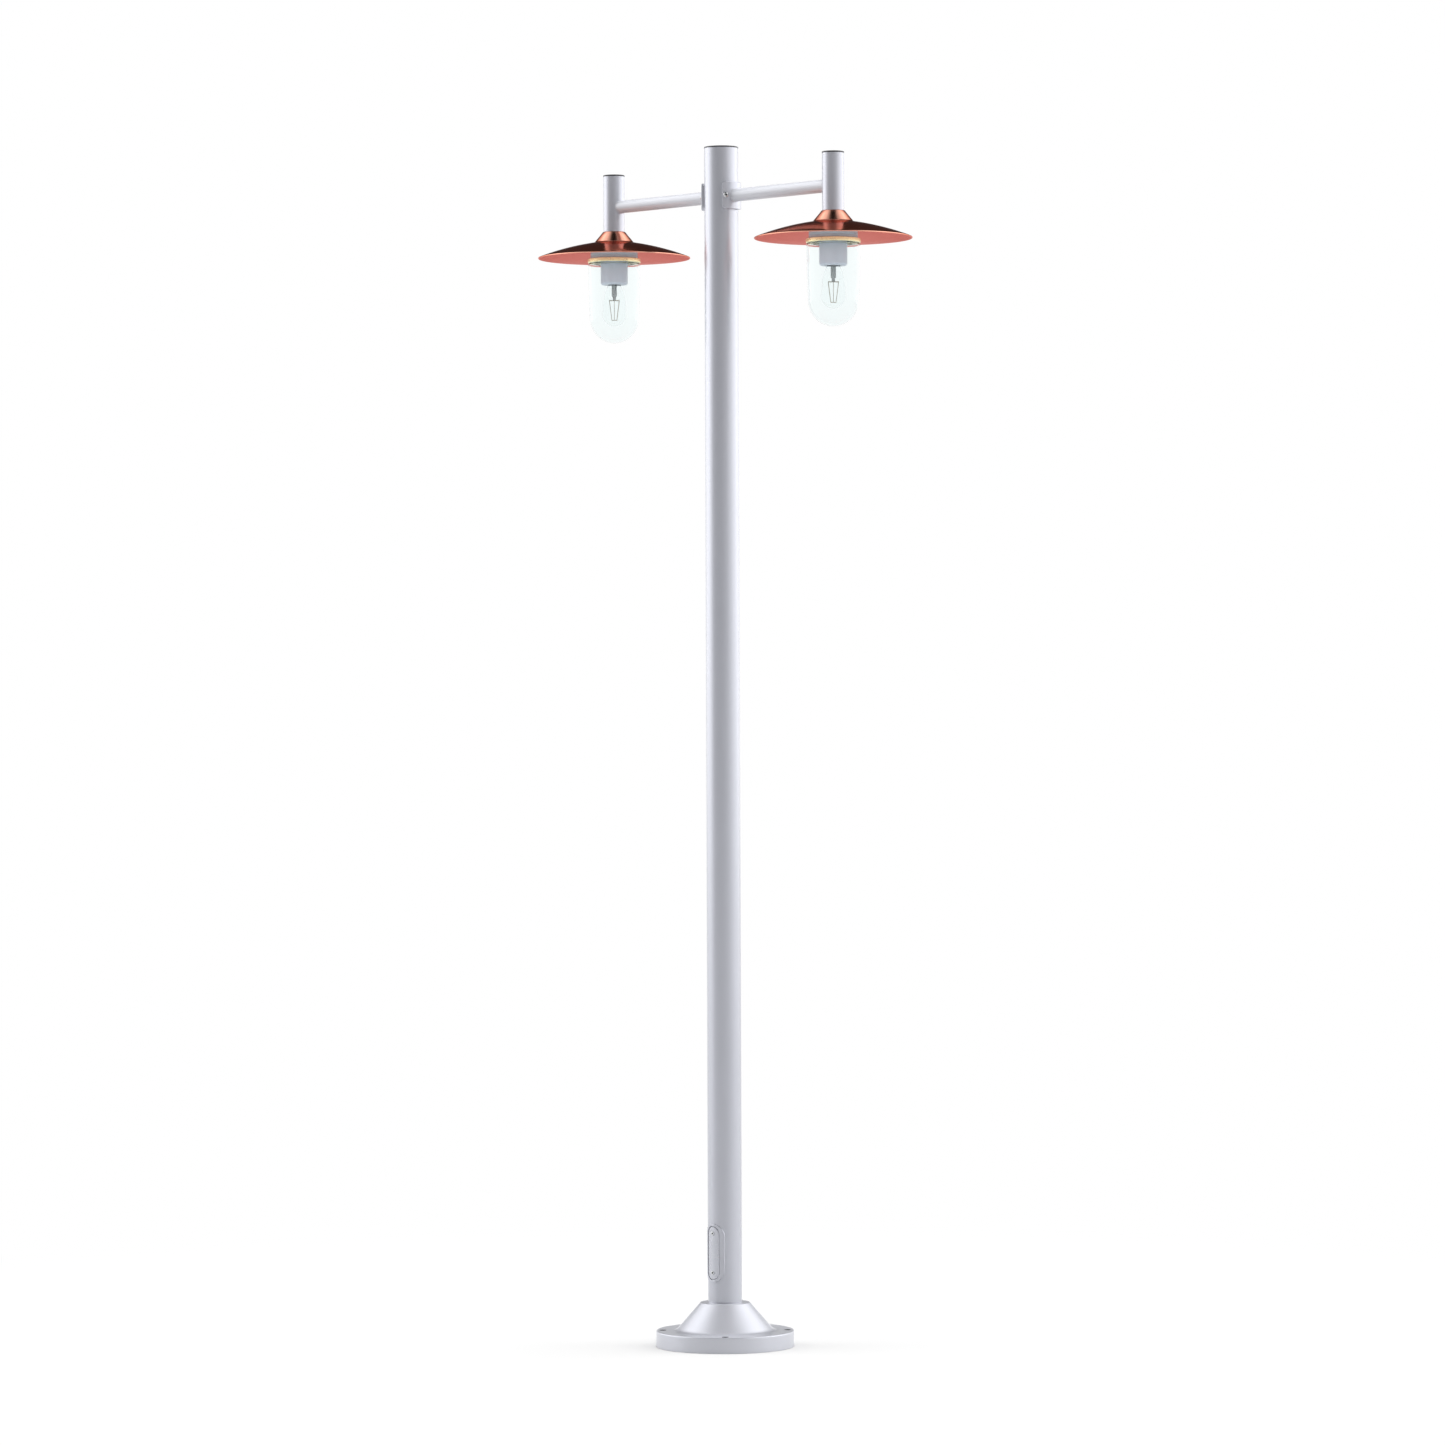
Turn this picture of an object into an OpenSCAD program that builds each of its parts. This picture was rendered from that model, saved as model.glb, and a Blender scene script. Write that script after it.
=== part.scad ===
// Twin-arm lamp post with two copper-shaded well-glass lanterns.
// Millimetres, +Z up. The origin is the centre of the base's underside.
// The arms run along X, and the service door faces -Y.

/* [Pole] */
// Overall height, to the top of the pole cap
post_h = 3174; // [2600:1:3900]
// Outside diameter of the pole tube
pole_d = 90; // [75:1:110]
// Wall of the pole tube
pole_wall = 3; // [2:0.5:5]
// Height of the pole's foot tube above the door opening, where the main tube is butt-welded to it
foot_rise = 78; // [40:1:400]
// Thickness of the pole cap above the tube
pole_cap_t = 4.5; // [3:0.5:8]

/* [Base] */
// Diameter of the base disc
base_d = 365; // [304:1:440]
// Height of the base disc
base_disc_h = 42; // [34:1:60]
// Height of the whole base casting
base_h = 116.5; // [97:0.5:150]
// Width of the flat ring outside the cone
base_flat_w = 52.5; // [44:0.5:60]
// Width of the ring round the pole at the top of the cone
base_top_w = 20; // [16.5:0.5:26]
// Wall of the casting
base_wall = 8; // [6:0.5:10]
// Diameter of the anchor bolt holes
anchor_d = 16; // [12:1:20]
// Distance from an anchor hole's centre to the edge of the disc
anchor_edge = 17.5; // [15:0.5:24]

/* [Service door] */
// Height of the door's centre above the ground
door_z = 248.5; // [230:0.5:400]
// Height of the door cover
door_h = 140; // [120:1:170]
// Width of the door cover
door_w = 40; // [34:1:48]
// Thickness of the door cover
door_t = 3; // [2.5:0.5:4]
// Width of the frame's rim above and below the cover
rim_w = 8; // [7:0.5:10]
// Width of the frame's rim beside the cover
rim_side_w = 12; // [7:0.5:13]
// How far the rim stands out from the pole
rim_t = 2.2; // [1.5:0.1:3.5]
// Distance between the two door screws
door_screw_pitch = 104; // [90:1:110]

/* [Arms] */
// Distance from the pole's axis to a lantern's axis
arm_reach = 410; // [340:1:500]
// Distance from the top of the post down to the arms
arm_drop = 132; // [110:1:200]
// Outside diameter of the arm tubes
arm_d = 34; // [28:1:42]
// Wall of the arm tubes
arm_wall = 2.5; // [2:0.5:4]
// Height of a saddle plate
plate_h = 72; // [60:1:90]
// Thickness of a saddle plate
plate_t = 8; // [6.5:0.5:10]
// Half of the angle that a saddle plate wraps round the pole
plate_half_angle = 43; // [41:1:58]
// Angle from the arm to each plate bolt
bolt_angle = 31.6; // [29:0.1:36]
// Outside diameter of the stems
stem_d = 57.5; // [50:0.5:70]
// Wall of the stems
stem_wall = 2.5; // [2:0.5:4]
// Height of a stem's top above the arm
stem_rise = 88; // [60:1:120]
// Depth of a stem's lower end below the arm
stem_drop = 66; // [50:1:90]

/* [Shades] */
// Diameter of a shade at its rim
shade_d = 410; // [340:1:500]
// Diameter at the foot of the shade's cone
cone_d = 108; // [90:1:130]
// Height of the shade's cone
cone_h = 29; // [24:1:36]
// Drop of the dish from the cone to the rim
dish_drop = 40; // [33:1:50]
// Radius of the dish's arched section
dish_arch_r = 720; // [500:10:1200]
// Thickness of the spun copper sheet
sheet_t = 1.2; // [1:0.1:2]

/* [Lanterns] */
// Distance from a shade's top down to the gallery
collar_drop = 49; // [44:1:60]
// Diameter of the gallery
gallery_d = 128; // [120:1:150]
// Height of the gallery
gallery_h = 23; // [20:1:30]
// Width of the brass ring's wall
ring_w = 7.3; // [5:0.1:10]
// Height of the brass ring
ring_h = 10; // [9:0.5:14]
// How far the glass's shoulder stands out from its neck
glass_shoulder_w = 12; // [8:0.5:18]
// How much the glass narrows, each side, down to its round end
glass_taper = 4; // [0:0.5:10]
// Depth of the glass below the brass ring
glass_h = 217; // [190:1:260]
// Wall of the glass
glass_t = 3; // [2.5:0.1:4]
// Diameter of the lampholder's cover
cover_d = 73; // [64:1:90]
// Distance from the gallery's underside plate to the cover's mouth
cover_h = 86; // [78:1:110]
// Diameter of the cover's mouth
mouth_d = 37; // [34:1:46]

/* [Bulbs] */
// Largest diameter of a bulb
bulb_d = 64; // [54:1:70]
// Length of the bulb's glass below its cap
bulb_len = 124; // [104:1:130]

/* [Leads] */
// Diameter of a lamp lead
lead_d = 6.5; // [5:0.1:7.5]

/* [Hidden] */
$fn = 64;

// Clearances: between welded or pushed-in pieces, between moving pieces, and past a cut
fit = 0.05;
gap = 0.3;
over = 1;

// Pole and base
pole_r = pole_d / 2;
bore_r = pole_r - pole_wall;
pole_top = post_h - pole_cap_t;
seat_z = 14;
cable_r = bore_r - 4;
base_r = base_d / 2;
foot_r = base_r - base_flat_w;
top_r = pole_r + base_top_w;
boss_r = pole_r + 11;
cone_angle = atan((base_h - base_disc_h) / (foot_r - top_r));
edge_round = 3.5;
foot_round = 10;
top_round = 6;
anchor_r = base_r - anchor_edge;
anchor_boss_r = min(anchor_d / 2 + 9, anchor_edge - 0.5);
rib_t = 8;
set_screw_z = 70;
set_screw_r = 4;
set_screw_len = 15;
set_screw_angles = [45, 165, 285];

// Service door, as distances from the pole's axis
rim_out = pole_r + rim_t;
cover_out = pole_r + 0.8;
cover_in = cover_out - door_t;
gasket_in = cover_in - 1;
ledge_r = gasket_in - gap;
frame_in = ledge_r - 3;
ledge_w = 3.5;
door_slack = 0.5;
collar_w = 4;
open_w = door_w + 2 * door_slack;
open_h = door_h + 2 * door_slack;
body_w = door_w + 2 * collar_w;
body_h = door_h + 2 * collar_w;
foot_top = door_z + body_h / 2 + foot_rise;
lug_half_w = 11;
lug_front = frame_in + 1.05;
lug_depth = 9.5;
lug_reach = 10;
screw_seat = cover_out - 1.2;
screw_head_r = 5;
screw_head_h = 2.6;
screw_r = 2.95;
screw_tip = lug_front - lug_depth + 1.5;

// Terminal box behind the door
box_w = 30;
box_depth = 40;
box_h = 76;
box_wall = 2;
lid_t = 3;
bracket_t = 3;
bracket_half_w = 11;
bracket_up = 60;
bracket_down = 70;
standoff_z = 46;
standoff_r = 6;
earth_z = 60;
earth_r = 3.9;
gland_x = 8;
gland_hex_r = 7.5;
inlet_hex_r = 9;
inlet_bore_r = 4.5;
lead_r = lead_d / 2;
lead_hole_r = lead_r + 0.1;

// Arms and stems
arm_z = post_h - arm_drop;
arm_r = arm_d / 2;
arm_bore_r = arm_r - arm_wall;
plate_r = pole_r + plate_t;
plate_half_w = plate_r * sin(plate_half_angle);
plate_round = 10;
bolt_seat = plate_r - 0.8;
bolt_r = 4;
bolt_head_r = 7;
nut_r = 5.5;
nut_flange_r = 8;
grommet_r = 9.9;
grommet_flange_r = 12;
stem_r = stem_d / 2;
stem_bore_r = stem_r - stem_wall;
stem_cap_t = 4.5;
lamp_z = arm_z - stem_drop;
bend_r = 4 * lead_d;

// Lantern, as heights above the shade's top
shade_top_r = stem_r + 2.25;
shade_r = shade_d / 2;
cone_r = cone_d / 2;
collar_r = stem_bore_r - fit;
collar_bore_r = collar_r - 8;
collar_up = 14;
gallery_screw_at = (collar_r + collar_bore_r) / 2;
gallery_screw_angles = [30, 150, 270];
gallery_r = gallery_d / 2;
gallery_top = -collar_drop;
gallery_low = gallery_top - gallery_h;
gallery_plate_t = 8;
plate_under = gallery_top - gallery_plate_t;
groove_top = gallery_top - 14;
groove_h = 3;
groove_depth = 1.6;
skirt_r = gallery_r - 0.4;
skirt_bore_r = gallery_r - 5;
neck_r = gallery_r - 5.5;
ring_top = gallery_low - 1;
ring_low = ring_top - ring_h;
ring_r = gallery_r - 0.3 + ring_w;
lip_t = 2.5;
lip_r = neck_r + 0.4;
bead_t = 2.5;
bead_r = gallery_r - 0.8;
bead_low = ring_low + lip_t + gap;
bead_top = bead_low + bead_t;
gasket_t = 1.7;
skirt_low = bead_top + gasket_t + gap;
glass_r = neck_r + glass_shoulder_w;
glass_low_r = glass_r - glass_taper;
shoulder_low = ring_low - 8;
glass_low = ring_low - glass_h;
dome_top = glass_low + glass_low_r + 2;
cover_r = cover_d / 2;
cover_t = 2;
cover_low = plate_under - cover_h;
cover_round = 7;
nipple_r = 6.45;
nipple_bore_r = lead_hole_r + 0.6;
locknut_t = 4;
locknut_hex_r = 11;
holder_r = 21;
holder_top = plate_under - 19;
holder_low = cover_low + 8;
nipple_in = 9;

// Bulb
cap_r = 13.2;
cap_len = 26;
cap_low = cover_low + 13;
bulb_r = bulb_d / 2;
bulb_low = cap_low - bulb_len;
bulb_t = 1;
bulb_mid = bulb_low + bulb_r;
thread_pitch = 3.6;
stem_glass_r = 7;
pinch_r = 4.5;
filament_top = cap_low - 55;
filament_low = filament_top - 53;
filament_wide = 19;
filament_narrow = 9.5;
wire_r = 0.8;

// n + 1 points on an arc about c, from angle a to angle b
function arc(c, r, a, b, n) =
  [for (i = [0:n]) c + r * [cos(a + (b - a) * i / n), sin(a + (b - a) * i / n)]];

// Points on a quarter ellipse about the axis, from its widest height down to its lowest point
function dome(r, top, low, n) =
  [for (i = [0:n]) [r * cos(90 * i / n), top - (top - low) * sin(90 * i / n)]];

// The dish's arch, from the cone's foot to the rim: its chord, the chord's fall, half of the
// angle that it spans, and its centre
dish_chord = norm([shade_r - cone_r, dish_drop]);
dish_tilt = atan(dish_drop / (shade_r - cone_r));
dish_swing = asin(dish_chord / 2 / dish_arch_r);
dish_c = [cone_r, -cone_h] - dish_arch_r * [sin(dish_tilt - dish_swing), cos(dish_tilt - dish_swing)];
function dish_points(n) =
  arc(dish_c, dish_arch_r, 90 - dish_tilt + dish_swing, 90 - dish_tilt - dish_swing, n);
function lowered(points, d) = [for (p = points) [p[0], p[1] - d]];
function reversed(points) = [for (i = [len(points) - 1:-1:0]) points[i]];

// A tube round Z
module tube(r_out, r_in, low, high) {
  rotate_extrude() translate([r_in, low]) square([r_out - r_in, high - low]);
}

// A shape turned round Z from its half section
module turned(points) {
  rotate_extrude() polygon(points);
}

// A slot shape with round ends
module obround(w, h) {
  square([w, h - w], center = true);
  for (s = [-1, 1]) translate([0, s * (h - w) / 2]) circle(d = w);
}

module rounded_rect(w, h, r) {
  square([w - 2 * r, h], center = true);
  square([w, h - 2 * r], center = true);
  for (x = [-1, 1], y = [-1, 1]) translate([x * (w / 2 - r), y * (h / 2 - r)]) circle(r);
}

// The door's outline pushed from the pole's axis out through the -Y side
module door_prism(w, h) {
  translate([0, 0, door_z]) rotate([90, 0, 0]) linear_extrude(pole_d) obround(w, h);
}

// A curved plate with the door's outline, between two distances from the pole's axis
module door_shell(r_in, r_out, w, h) {
  intersection() {
    tube(r_out, r_in, door_z - h, door_z + h);
    door_prism(w, h);
  }
}

// Places a piece that is drawn for the right-hand arm
module right() {
  children();
}

module left() {
  mirror([1, 0, 0]) children();
}

// Places a piece in a lantern's own frame, whose zero is the shade's top
module in_lamp() {
  translate([arm_reach, 0, lamp_z]) children();
}

// Repeats a piece, drawn along +X, at each plate bolt
module at_plate_bolts() {
  for (side = [0, 180], s = [-1, 1]) {
    rotate([0, 0, side + s * bolt_angle]) translate([0, 0, arm_z]) children();
  }
}

// Turns a piece so that its Z lies along +X
module along_x() {
  rotate([0, 90, 0]) children();
}

// Turns a piece so that its Z points out through the door
module along_door() {
  rotate([90, 0, 0]) children();
}

module base_casting() {
  fillet_run = foot_round * tan(cone_angle / 2);
  top_run = top_round * tan(cone_angle / 2);
  slant = base_wall / tan(cone_angle) - base_wall / sin(cone_angle);
  color([0.78, 0.79, 0.82]) difference() {
    turned(concat(
      [[0, 0], [base_r, 0]],
      arc([base_r - edge_round, base_disc_h - edge_round], edge_round, 0, 90, 4),
      arc([foot_r + fillet_run, base_disc_h + foot_round], foot_round, 270, 270 - cone_angle, 5),
      arc([top_r - top_run, base_h - top_round], top_round, 90 - cone_angle, 90, 4),
      [[0, base_h]]
    ));
    difference() {
      turned([
        [boss_r, -over],
        [base_r - base_wall, -over],
        [base_r - base_wall, base_disc_h - base_wall],
        [foot_r + slant, base_disc_h - base_wall],
        [top_r + slant, base_h - base_wall],
        [boss_r, base_h - base_wall],
      ]);
      for (a = [0, 90]) rotate([0, 0, a]) translate([-base_r, -rib_t / 2, 0]) cube([base_d, rib_t, base_h]);
      for (a = [45:90:315]) rotate([0, 0, a]) {
        translate([anchor_r, 0, 0]) cylinder(r = anchor_boss_r, h = base_h);
      }
    }
    translate([0, 0, -over]) cylinder(r = cable_r, h = base_h);
    translate([0, 0, seat_z]) cylinder(r = pole_r + fit, h = base_h);
    for (a = [45:90:315]) {
      rotate([0, 0, a]) translate([anchor_r, 0, -over]) cylinder(d = anchor_d, h = base_disc_h + 2 * over);
    }
    for (a = set_screw_angles) {
      rotate([0, 0, a]) translate([pole_r, 0, set_screw_z]) along_x() cylinder(r = set_screw_r + fit, h = 13);
    }
  }
}

module base_set_screws() {
  color([0.35, 0.35, 0.37]) for (a = set_screw_angles) {
    rotate([0, 0, a]) translate([pole_r + 0.1, 0, set_screw_z]) along_x() difference() {
      cylinder(r = set_screw_r, h = set_screw_len);
      translate([0, 0, set_screw_len - 4]) cylinder(r = 2.3, h = 5, $fn = 6);
    }
  }
}

module pole_foot() {
  color([0.78, 0.79, 0.82]) difference() {
    tube(pole_r, bore_r, seat_z, foot_top);
    door_prism(body_w + 2 * fit, body_h + 2 * fit);
  }
}

module pole_tube() {
  color([0.78, 0.79, 0.82]) difference() {
    tube(pole_r, bore_r, foot_top, pole_top);
    translate([-pole_d, 0, arm_z]) along_x() cylinder(r = grommet_r + fit, h = 2 * pole_d);
    at_plate_bolts() along_x() cylinder(r = nut_r + fit, h = pole_d);
  }
}

module pole_cap() {
  lip = pole_r + 0.4;
  color([0.3, 0.3, 0.32]) translate([0, 0, pole_top]) turned([
    [0, 0],
    [bore_r - 2.3, 0],
    [bore_r - 2.3, -14],
    [bore_r - gap, -14],
    [bore_r - gap, 0],
    [lip, 0],
    [lip, 0.6 * pole_cap_t],
    [lip - 1.6, 0.9 * pole_cap_t],
    [pole_r / 2, pole_cap_t],
    [0, pole_cap_t],
  ]);
}

module pole_grommets() {
  color([0.1, 0.1, 0.1]) for (side = [0, 180]) {
    rotate([0, 0, side]) translate([0, 0, arm_z]) along_x() turned([
      [lead_hole_r, bore_r - 3.6],
      [grommet_flange_r, bore_r - 3.6],
      [grommet_flange_r, bore_r - 1.9],
      [grommet_r, bore_r - 1.9],
      [grommet_r, pole_r + gap],
      [grommet_flange_r, pole_r + gap],
      [grommet_flange_r, pole_r + 1.8],
      [lead_hole_r, pole_r + 1.8],
    ]);
  }
}

module plate_bolts() {
  color([0.75, 0.76, 0.78]) at_plate_bolts() translate([bolt_seat, 0, 0]) along_x() difference() {
    union() {
      turned([[0, 0], [bolt_head_r, 0], [bolt_head_r, 1.6], [5.6, 3.5], [3.6, 4.2], [0, 4.2]]);
      translate([0, 0, -17]) cylinder(r = bolt_r, h = 17);
    }
    translate([0, 0, 1.7]) cylinder(r = 2.9, h = 3, $fn = 6);
  }
}

module rivet_nuts() {
  color([0.7, 0.7, 0.68]) at_plate_bolts() along_x() turned([
    [bolt_r + fit, bore_r - 9],
    [nut_r, bore_r - 9],
    [nut_r, bore_r - 4],
    [nut_r + 1.7, bore_r - 3],
    [nut_r + 1.7, bore_r - 0.8],
    [nut_r, bore_r - 0.8],
    [nut_r, pole_r + 0.1],
    [nut_flange_r, pole_r + 0.1],
    [nut_flange_r, pole_r + 1.3],
    [bolt_r + fit, pole_r + 1.3],
  ]);
}

module door_frame() {
  color([0.78, 0.79, 0.82]) union() {
    difference() {
      union() {
        door_shell(pole_r + fit, rim_out, door_w + 2 * rim_side_w, door_h + 2 * rim_w);
        door_shell(frame_in, rim_out, body_w, body_h);
      }
      door_shell(ledge_r, rim_out + over, open_w, open_h);
      door_prism(open_w - 2 * ledge_w, open_h - 2 * ledge_w);
    }
    for (s = [-1, 1]) difference() {
      translate([-lug_half_w, -lug_front, door_z + (s > 0 ? door_screw_pitch / 2 - lug_reach : -door_h / 2)])
        cube([2 * lug_half_w, lug_depth, door_h / 2 - door_screw_pitch / 2 + lug_reach]);
      translate([0, over - lug_front + lug_depth, door_z + s * door_screw_pitch / 2])
        along_door() cylinder(r = screw_r + fit, h = lug_depth + 2 * over);
    }
  }
}

module door_cover() {
  color([0.8, 0.81, 0.84]) difference() {
    door_shell(cover_in, cover_out, door_w, door_h);
    for (s = [-1, 1]) translate([0, 0, door_z + s * door_screw_pitch / 2]) along_door() {
      cylinder(r = screw_r + 0.2, h = pole_d);
      translate([0, 0, screw_seat]) cylinder(r = screw_head_r + 0.6, h = 5);
    }
  }
}

module door_gasket() {
  color([0.12, 0.12, 0.12]) difference() {
    door_shell(gasket_in, cover_in - fit, door_w - 1, door_h - 1);
    door_prism(open_w - 2 * ledge_w + 1, open_h - 2 * ledge_w + 1);
  }
}

module door_screw(s) {
  color([0.75, 0.76, 0.78]) translate([0, 0, door_z + s * door_screw_pitch / 2]) along_door() difference() {
    union() {
      translate([0, 0, screw_seat]) turned([
        [0, 0],
        [screw_head_r, 0],
        [screw_head_r, screw_head_h - 0.7],
        [screw_head_r - 0.7, screw_head_h],
        [0, screw_head_h],
      ]);
      translate([0, 0, screw_tip]) cylinder(r = screw_r, h = screw_seat - screw_tip + 0.5);
    }
    translate([0, 0, screw_seat + 0.4]) cylinder(r = 2.3, h = screw_head_h, $fn = 6);
  }
}

module door_screw_upper() {
  door_screw(1);
}

module door_screw_lower() {
  door_screw(-1);
}

module terminal_bracket() {
  strip_y = box_depth / 2;
  color([0.7, 0.71, 0.73]) translate([0, 0, door_z]) difference() {
    union() {
      translate([-bracket_half_w, strip_y, -bracket_down])
        cube([2 * bracket_half_w, bracket_t, bracket_down + bracket_up]);
      intersection() {
        for (s = [-1, 1]) translate([0, pole_r, s * standoff_z]) along_door() {
          cylinder(r = standoff_r, h = pole_r - strip_y - bracket_t / 2);
        }
        tube(bore_r - fit, 1, -bracket_down, bracket_up);
      }
    }
    translate([0, pole_r, -earth_z]) along_door() cylinder(r = earth_r + fit, h = pole_r);
    for (s = [-1, 1]) translate([0, strip_y + bracket_t + over, s * 20]) along_door() {
      cylinder(r = 2 + fit, h = bracket_t + 2 * over);
    }
  }
}

module terminal_box() {
  color([0.55, 0.56, 0.58]) translate([0, 0, door_z]) difference() {
    translate([-box_w / 2, -box_depth / 2, -box_h / 2]) cube([box_w, box_depth, box_h]);
    translate([box_wall - box_w / 2, -box_depth / 2 - over, box_wall - box_h / 2])
      cube([box_w - 2 * box_wall, box_depth - box_wall + over, box_h - 2 * box_wall]);
    for (x = [-1, 1]) translate([x * gland_x, 0, 0]) cylinder(r = 5 + fit, h = box_h);
    translate([0, 0, -box_h]) cylinder(r = 6 + fit, h = box_h);
    for (s = [-1, 1]) translate([0, box_depth, s * 20]) along_door() cylinder(r = 2 + fit, h = box_depth);
  }
}

module terminal_lid() {
  color([0.6, 0.61, 0.63]) translate([0, -box_depth / 2, door_z]) along_door() linear_extrude(lid_t) {
    rounded_rect(box_w, box_h, 3);
  }
}

module terminal_block() {
  color([0.85, 0.83, 0.76]) translate([0, box_depth / 2 - box_wall, door_z - 4]) along_door() difference() {
    translate([-11, -11, 0]) cube([22, 22, 14]);
    for (x = [-7.3, 0, 7.3], z = [-6, 6]) translate([x, z, 8]) cylinder(r = 2.2, h = 7);
  }
}

module box_glands() {
  color([0.15, 0.15, 0.16]) translate([0, 0, door_z]) {
    for (x = [-1, 1]) translate([x * gland_x, 0, box_h / 2]) difference() {
      union() {
        translate([0, 0, -6]) cylinder(r = 5, h = 7);
        cylinder(r = gland_hex_r, h = 6, $fn = 6);
        translate([0, 0, 5]) cylinder(r1 = 6.4, r2 = 4.6, h = 8);
      }
      translate([0, 0, -8]) cylinder(r = lead_hole_r, h = 24);
    }
    translate([0, 0, -box_h / 2]) mirror([0, 0, 1]) difference() {
      union() {
        translate([0, 0, -6]) cylinder(r = 6, h = 7);
        cylinder(r = inlet_hex_r, h = 6, $fn = 6);
        translate([0, 0, 5]) cylinder(r1 = 7.6, r2 = 5.8, h = 9);
      }
      translate([0, 0, -8]) cylinder(r = inlet_bore_r, h = 24);
    }
  }
}

module box_screws() {
  color([0.75, 0.76, 0.78]) for (s = [-1, 1]) {
    translate([0, box_depth / 2 - box_wall, door_z + s * 20]) along_door() difference() {
      union() {
        cylinder(r = 3.6, h = 2.4);
        translate([0, 0, -box_wall - bracket_t - 2]) cylinder(r = 2, h = box_wall + bracket_t + 3);
      }
      translate([0, 0, 1.2]) cylinder(r = 1.4, h = 2, $fn = 6);
    }
  }
}

module earth_stud() {
  strip_y = box_depth / 2;
  color([0.78, 0.62, 0.3]) translate([0, strip_y, door_z - earth_z]) along_door() union() {
    translate([0, 0, -bracket_t - 4]) cylinder(r = 7.5, h = 4, $fn = 6);
    translate([0, 0, -bracket_t - 1]) cylinder(r = earth_r, h = 22);
    cylinder(r = 7.5, h = 1.2);
    translate([0, 0, 1.2]) cylinder(r = 7.5, h = 6, $fn = 6);
  }
}

module saddle_plate() {
  color([0.78, 0.79, 0.82]) difference() {
    intersection() {
      rotate([0, 0, -plate_half_angle]) rotate_extrude(angle = 2 * plate_half_angle) {
        translate([pole_r + fit, arm_z - plate_h]) square([plate_t - fit, 2 * plate_h]);
      }
      translate([0, 0, arm_z]) rotate([90, 0, 90]) linear_extrude(pole_d) {
        rounded_rect(2 * plate_half_w, plate_h, plate_round);
      }
    }
    translate([0, 0, arm_z]) along_x() cylinder(r = arm_bore_r, h = pole_d);
    for (s = [-1, 1]) translate([0, 0, arm_z]) rotate([0, 0, s * bolt_angle]) along_x() {
      cylinder(r = bolt_r + 0.5, h = pole_d);
      cylinder(r = nut_flange_r + 0.5, h = pole_r + 1.8);
      translate([0, 0, bolt_seat]) cylinder(r = bolt_head_r + 0.6, h = 5);
    }
  }
}

module arm_tube() {
  color([0.78, 0.79, 0.82]) difference() {
    translate([0, 0, arm_z]) along_x() tube(arm_r, arm_bore_r, pole_r, arm_reach);
    translate([0, 0, arm_z - arm_d]) cylinder(r = plate_r + fit, h = 2 * arm_d);
    translate([arm_reach, 0, arm_z - arm_d]) cylinder(r = stem_r + fit, h = 2 * arm_d);
  }
}

module stem_tube() {
  color([0.78, 0.79, 0.82]) in_lamp() difference() {
    tube(stem_r, stem_bore_r, 0, stem_drop + stem_rise - stem_cap_t);
    translate([-stem_d, 0, stem_drop]) along_x() cylinder(r = arm_bore_r, h = stem_d);
  }
}

module stem_cap() {
  lip = stem_r + 0.3;
  color([0.3, 0.3, 0.32]) in_lamp() translate([0, 0, stem_drop + stem_rise - stem_cap_t]) turned([
    [0, 0],
    [stem_bore_r - 2.2, 0],
    [stem_bore_r - 2.2, -10],
    [stem_bore_r - 0.2, -10],
    [stem_bore_r - 0.2, 0],
    [lip, 0],
    [lip, 0.6 * stem_cap_t],
    [lip - 1.4, 0.9 * stem_cap_t],
    [stem_r / 2, stem_cap_t],
    [0, stem_cap_t],
  ]);
}

// Runs up the pole from its gland, out along the arm, and down the stem into the lampholder
module lamp_lead() {
  lead_start = door_z + box_h / 2 - 12;
  color([0.1, 0.1, 0.1]) union() {
    translate([gland_x, 0, lead_start]) cylinder(r = lead_r, h = arm_z - bend_r - lead_start);
    translate([gland_x + bend_r, 0, arm_z - bend_r]) rotate([90, 0, 0]) rotate([0, 0, 90]) {
      rotate_extrude(angle = 90) translate([bend_r, 0]) circle(lead_r);
    }
    translate([gland_x + bend_r, 0, arm_z]) along_x() {
      cylinder(r = lead_r, h = arm_reach - gland_x - 2 * bend_r);
    }
    translate([arm_reach - bend_r, 0, arm_z - bend_r]) rotate([90, 0, 0]) {
      rotate_extrude(angle = 90) translate([bend_r, 0]) circle(lead_r);
    }
    in_lamp() translate([0, 0, holder_top - nipple_in - 5]) {
      cylinder(r = lead_r, h = stem_drop - bend_r - holder_top + nipple_in + 5);
    }
  }
}

module shade() {
  dish = dish_points(10);
  color([0.72, 0.36, 0.26]) in_lamp() turned(concat(
    [[stem_bore_r + gap, 0], [shade_top_r, 0]],
    dish,
    [[shade_r + 0.8, -cone_h - dish_drop - 0.8], [shade_r, -cone_h - dish_drop - 3]],
    [[shade_r - 2.4, -cone_h - dish_drop - 2.2]],
    reversed(lowered(dish_points(10), sheet_t)),
    [[shade_top_r - 0.6, -sheet_t], [stem_bore_r + gap, -sheet_t]]
  ));
}

module neck_collar() {
  color([0.62, 0.66, 0.67]) in_lamp() difference() {
    turned([
      [collar_bore_r, gallery_top],
      [collar_r, gallery_top],
      [collar_r, -sheet_t - 3],
      [shade_top_r - 1.5, -sheet_t - 3],
      [shade_top_r - 1.5, -sheet_t],
      [collar_r, -sheet_t],
      [collar_r, collar_up],
      [collar_bore_r, collar_up],
    ]);
    for (a = gallery_screw_angles) rotate([0, 0, a]) translate([gallery_screw_at, 0, gallery_top - over]) {
      cylinder(r = 2 + fit, h = 11 + over);
    }
  }
}

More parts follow.
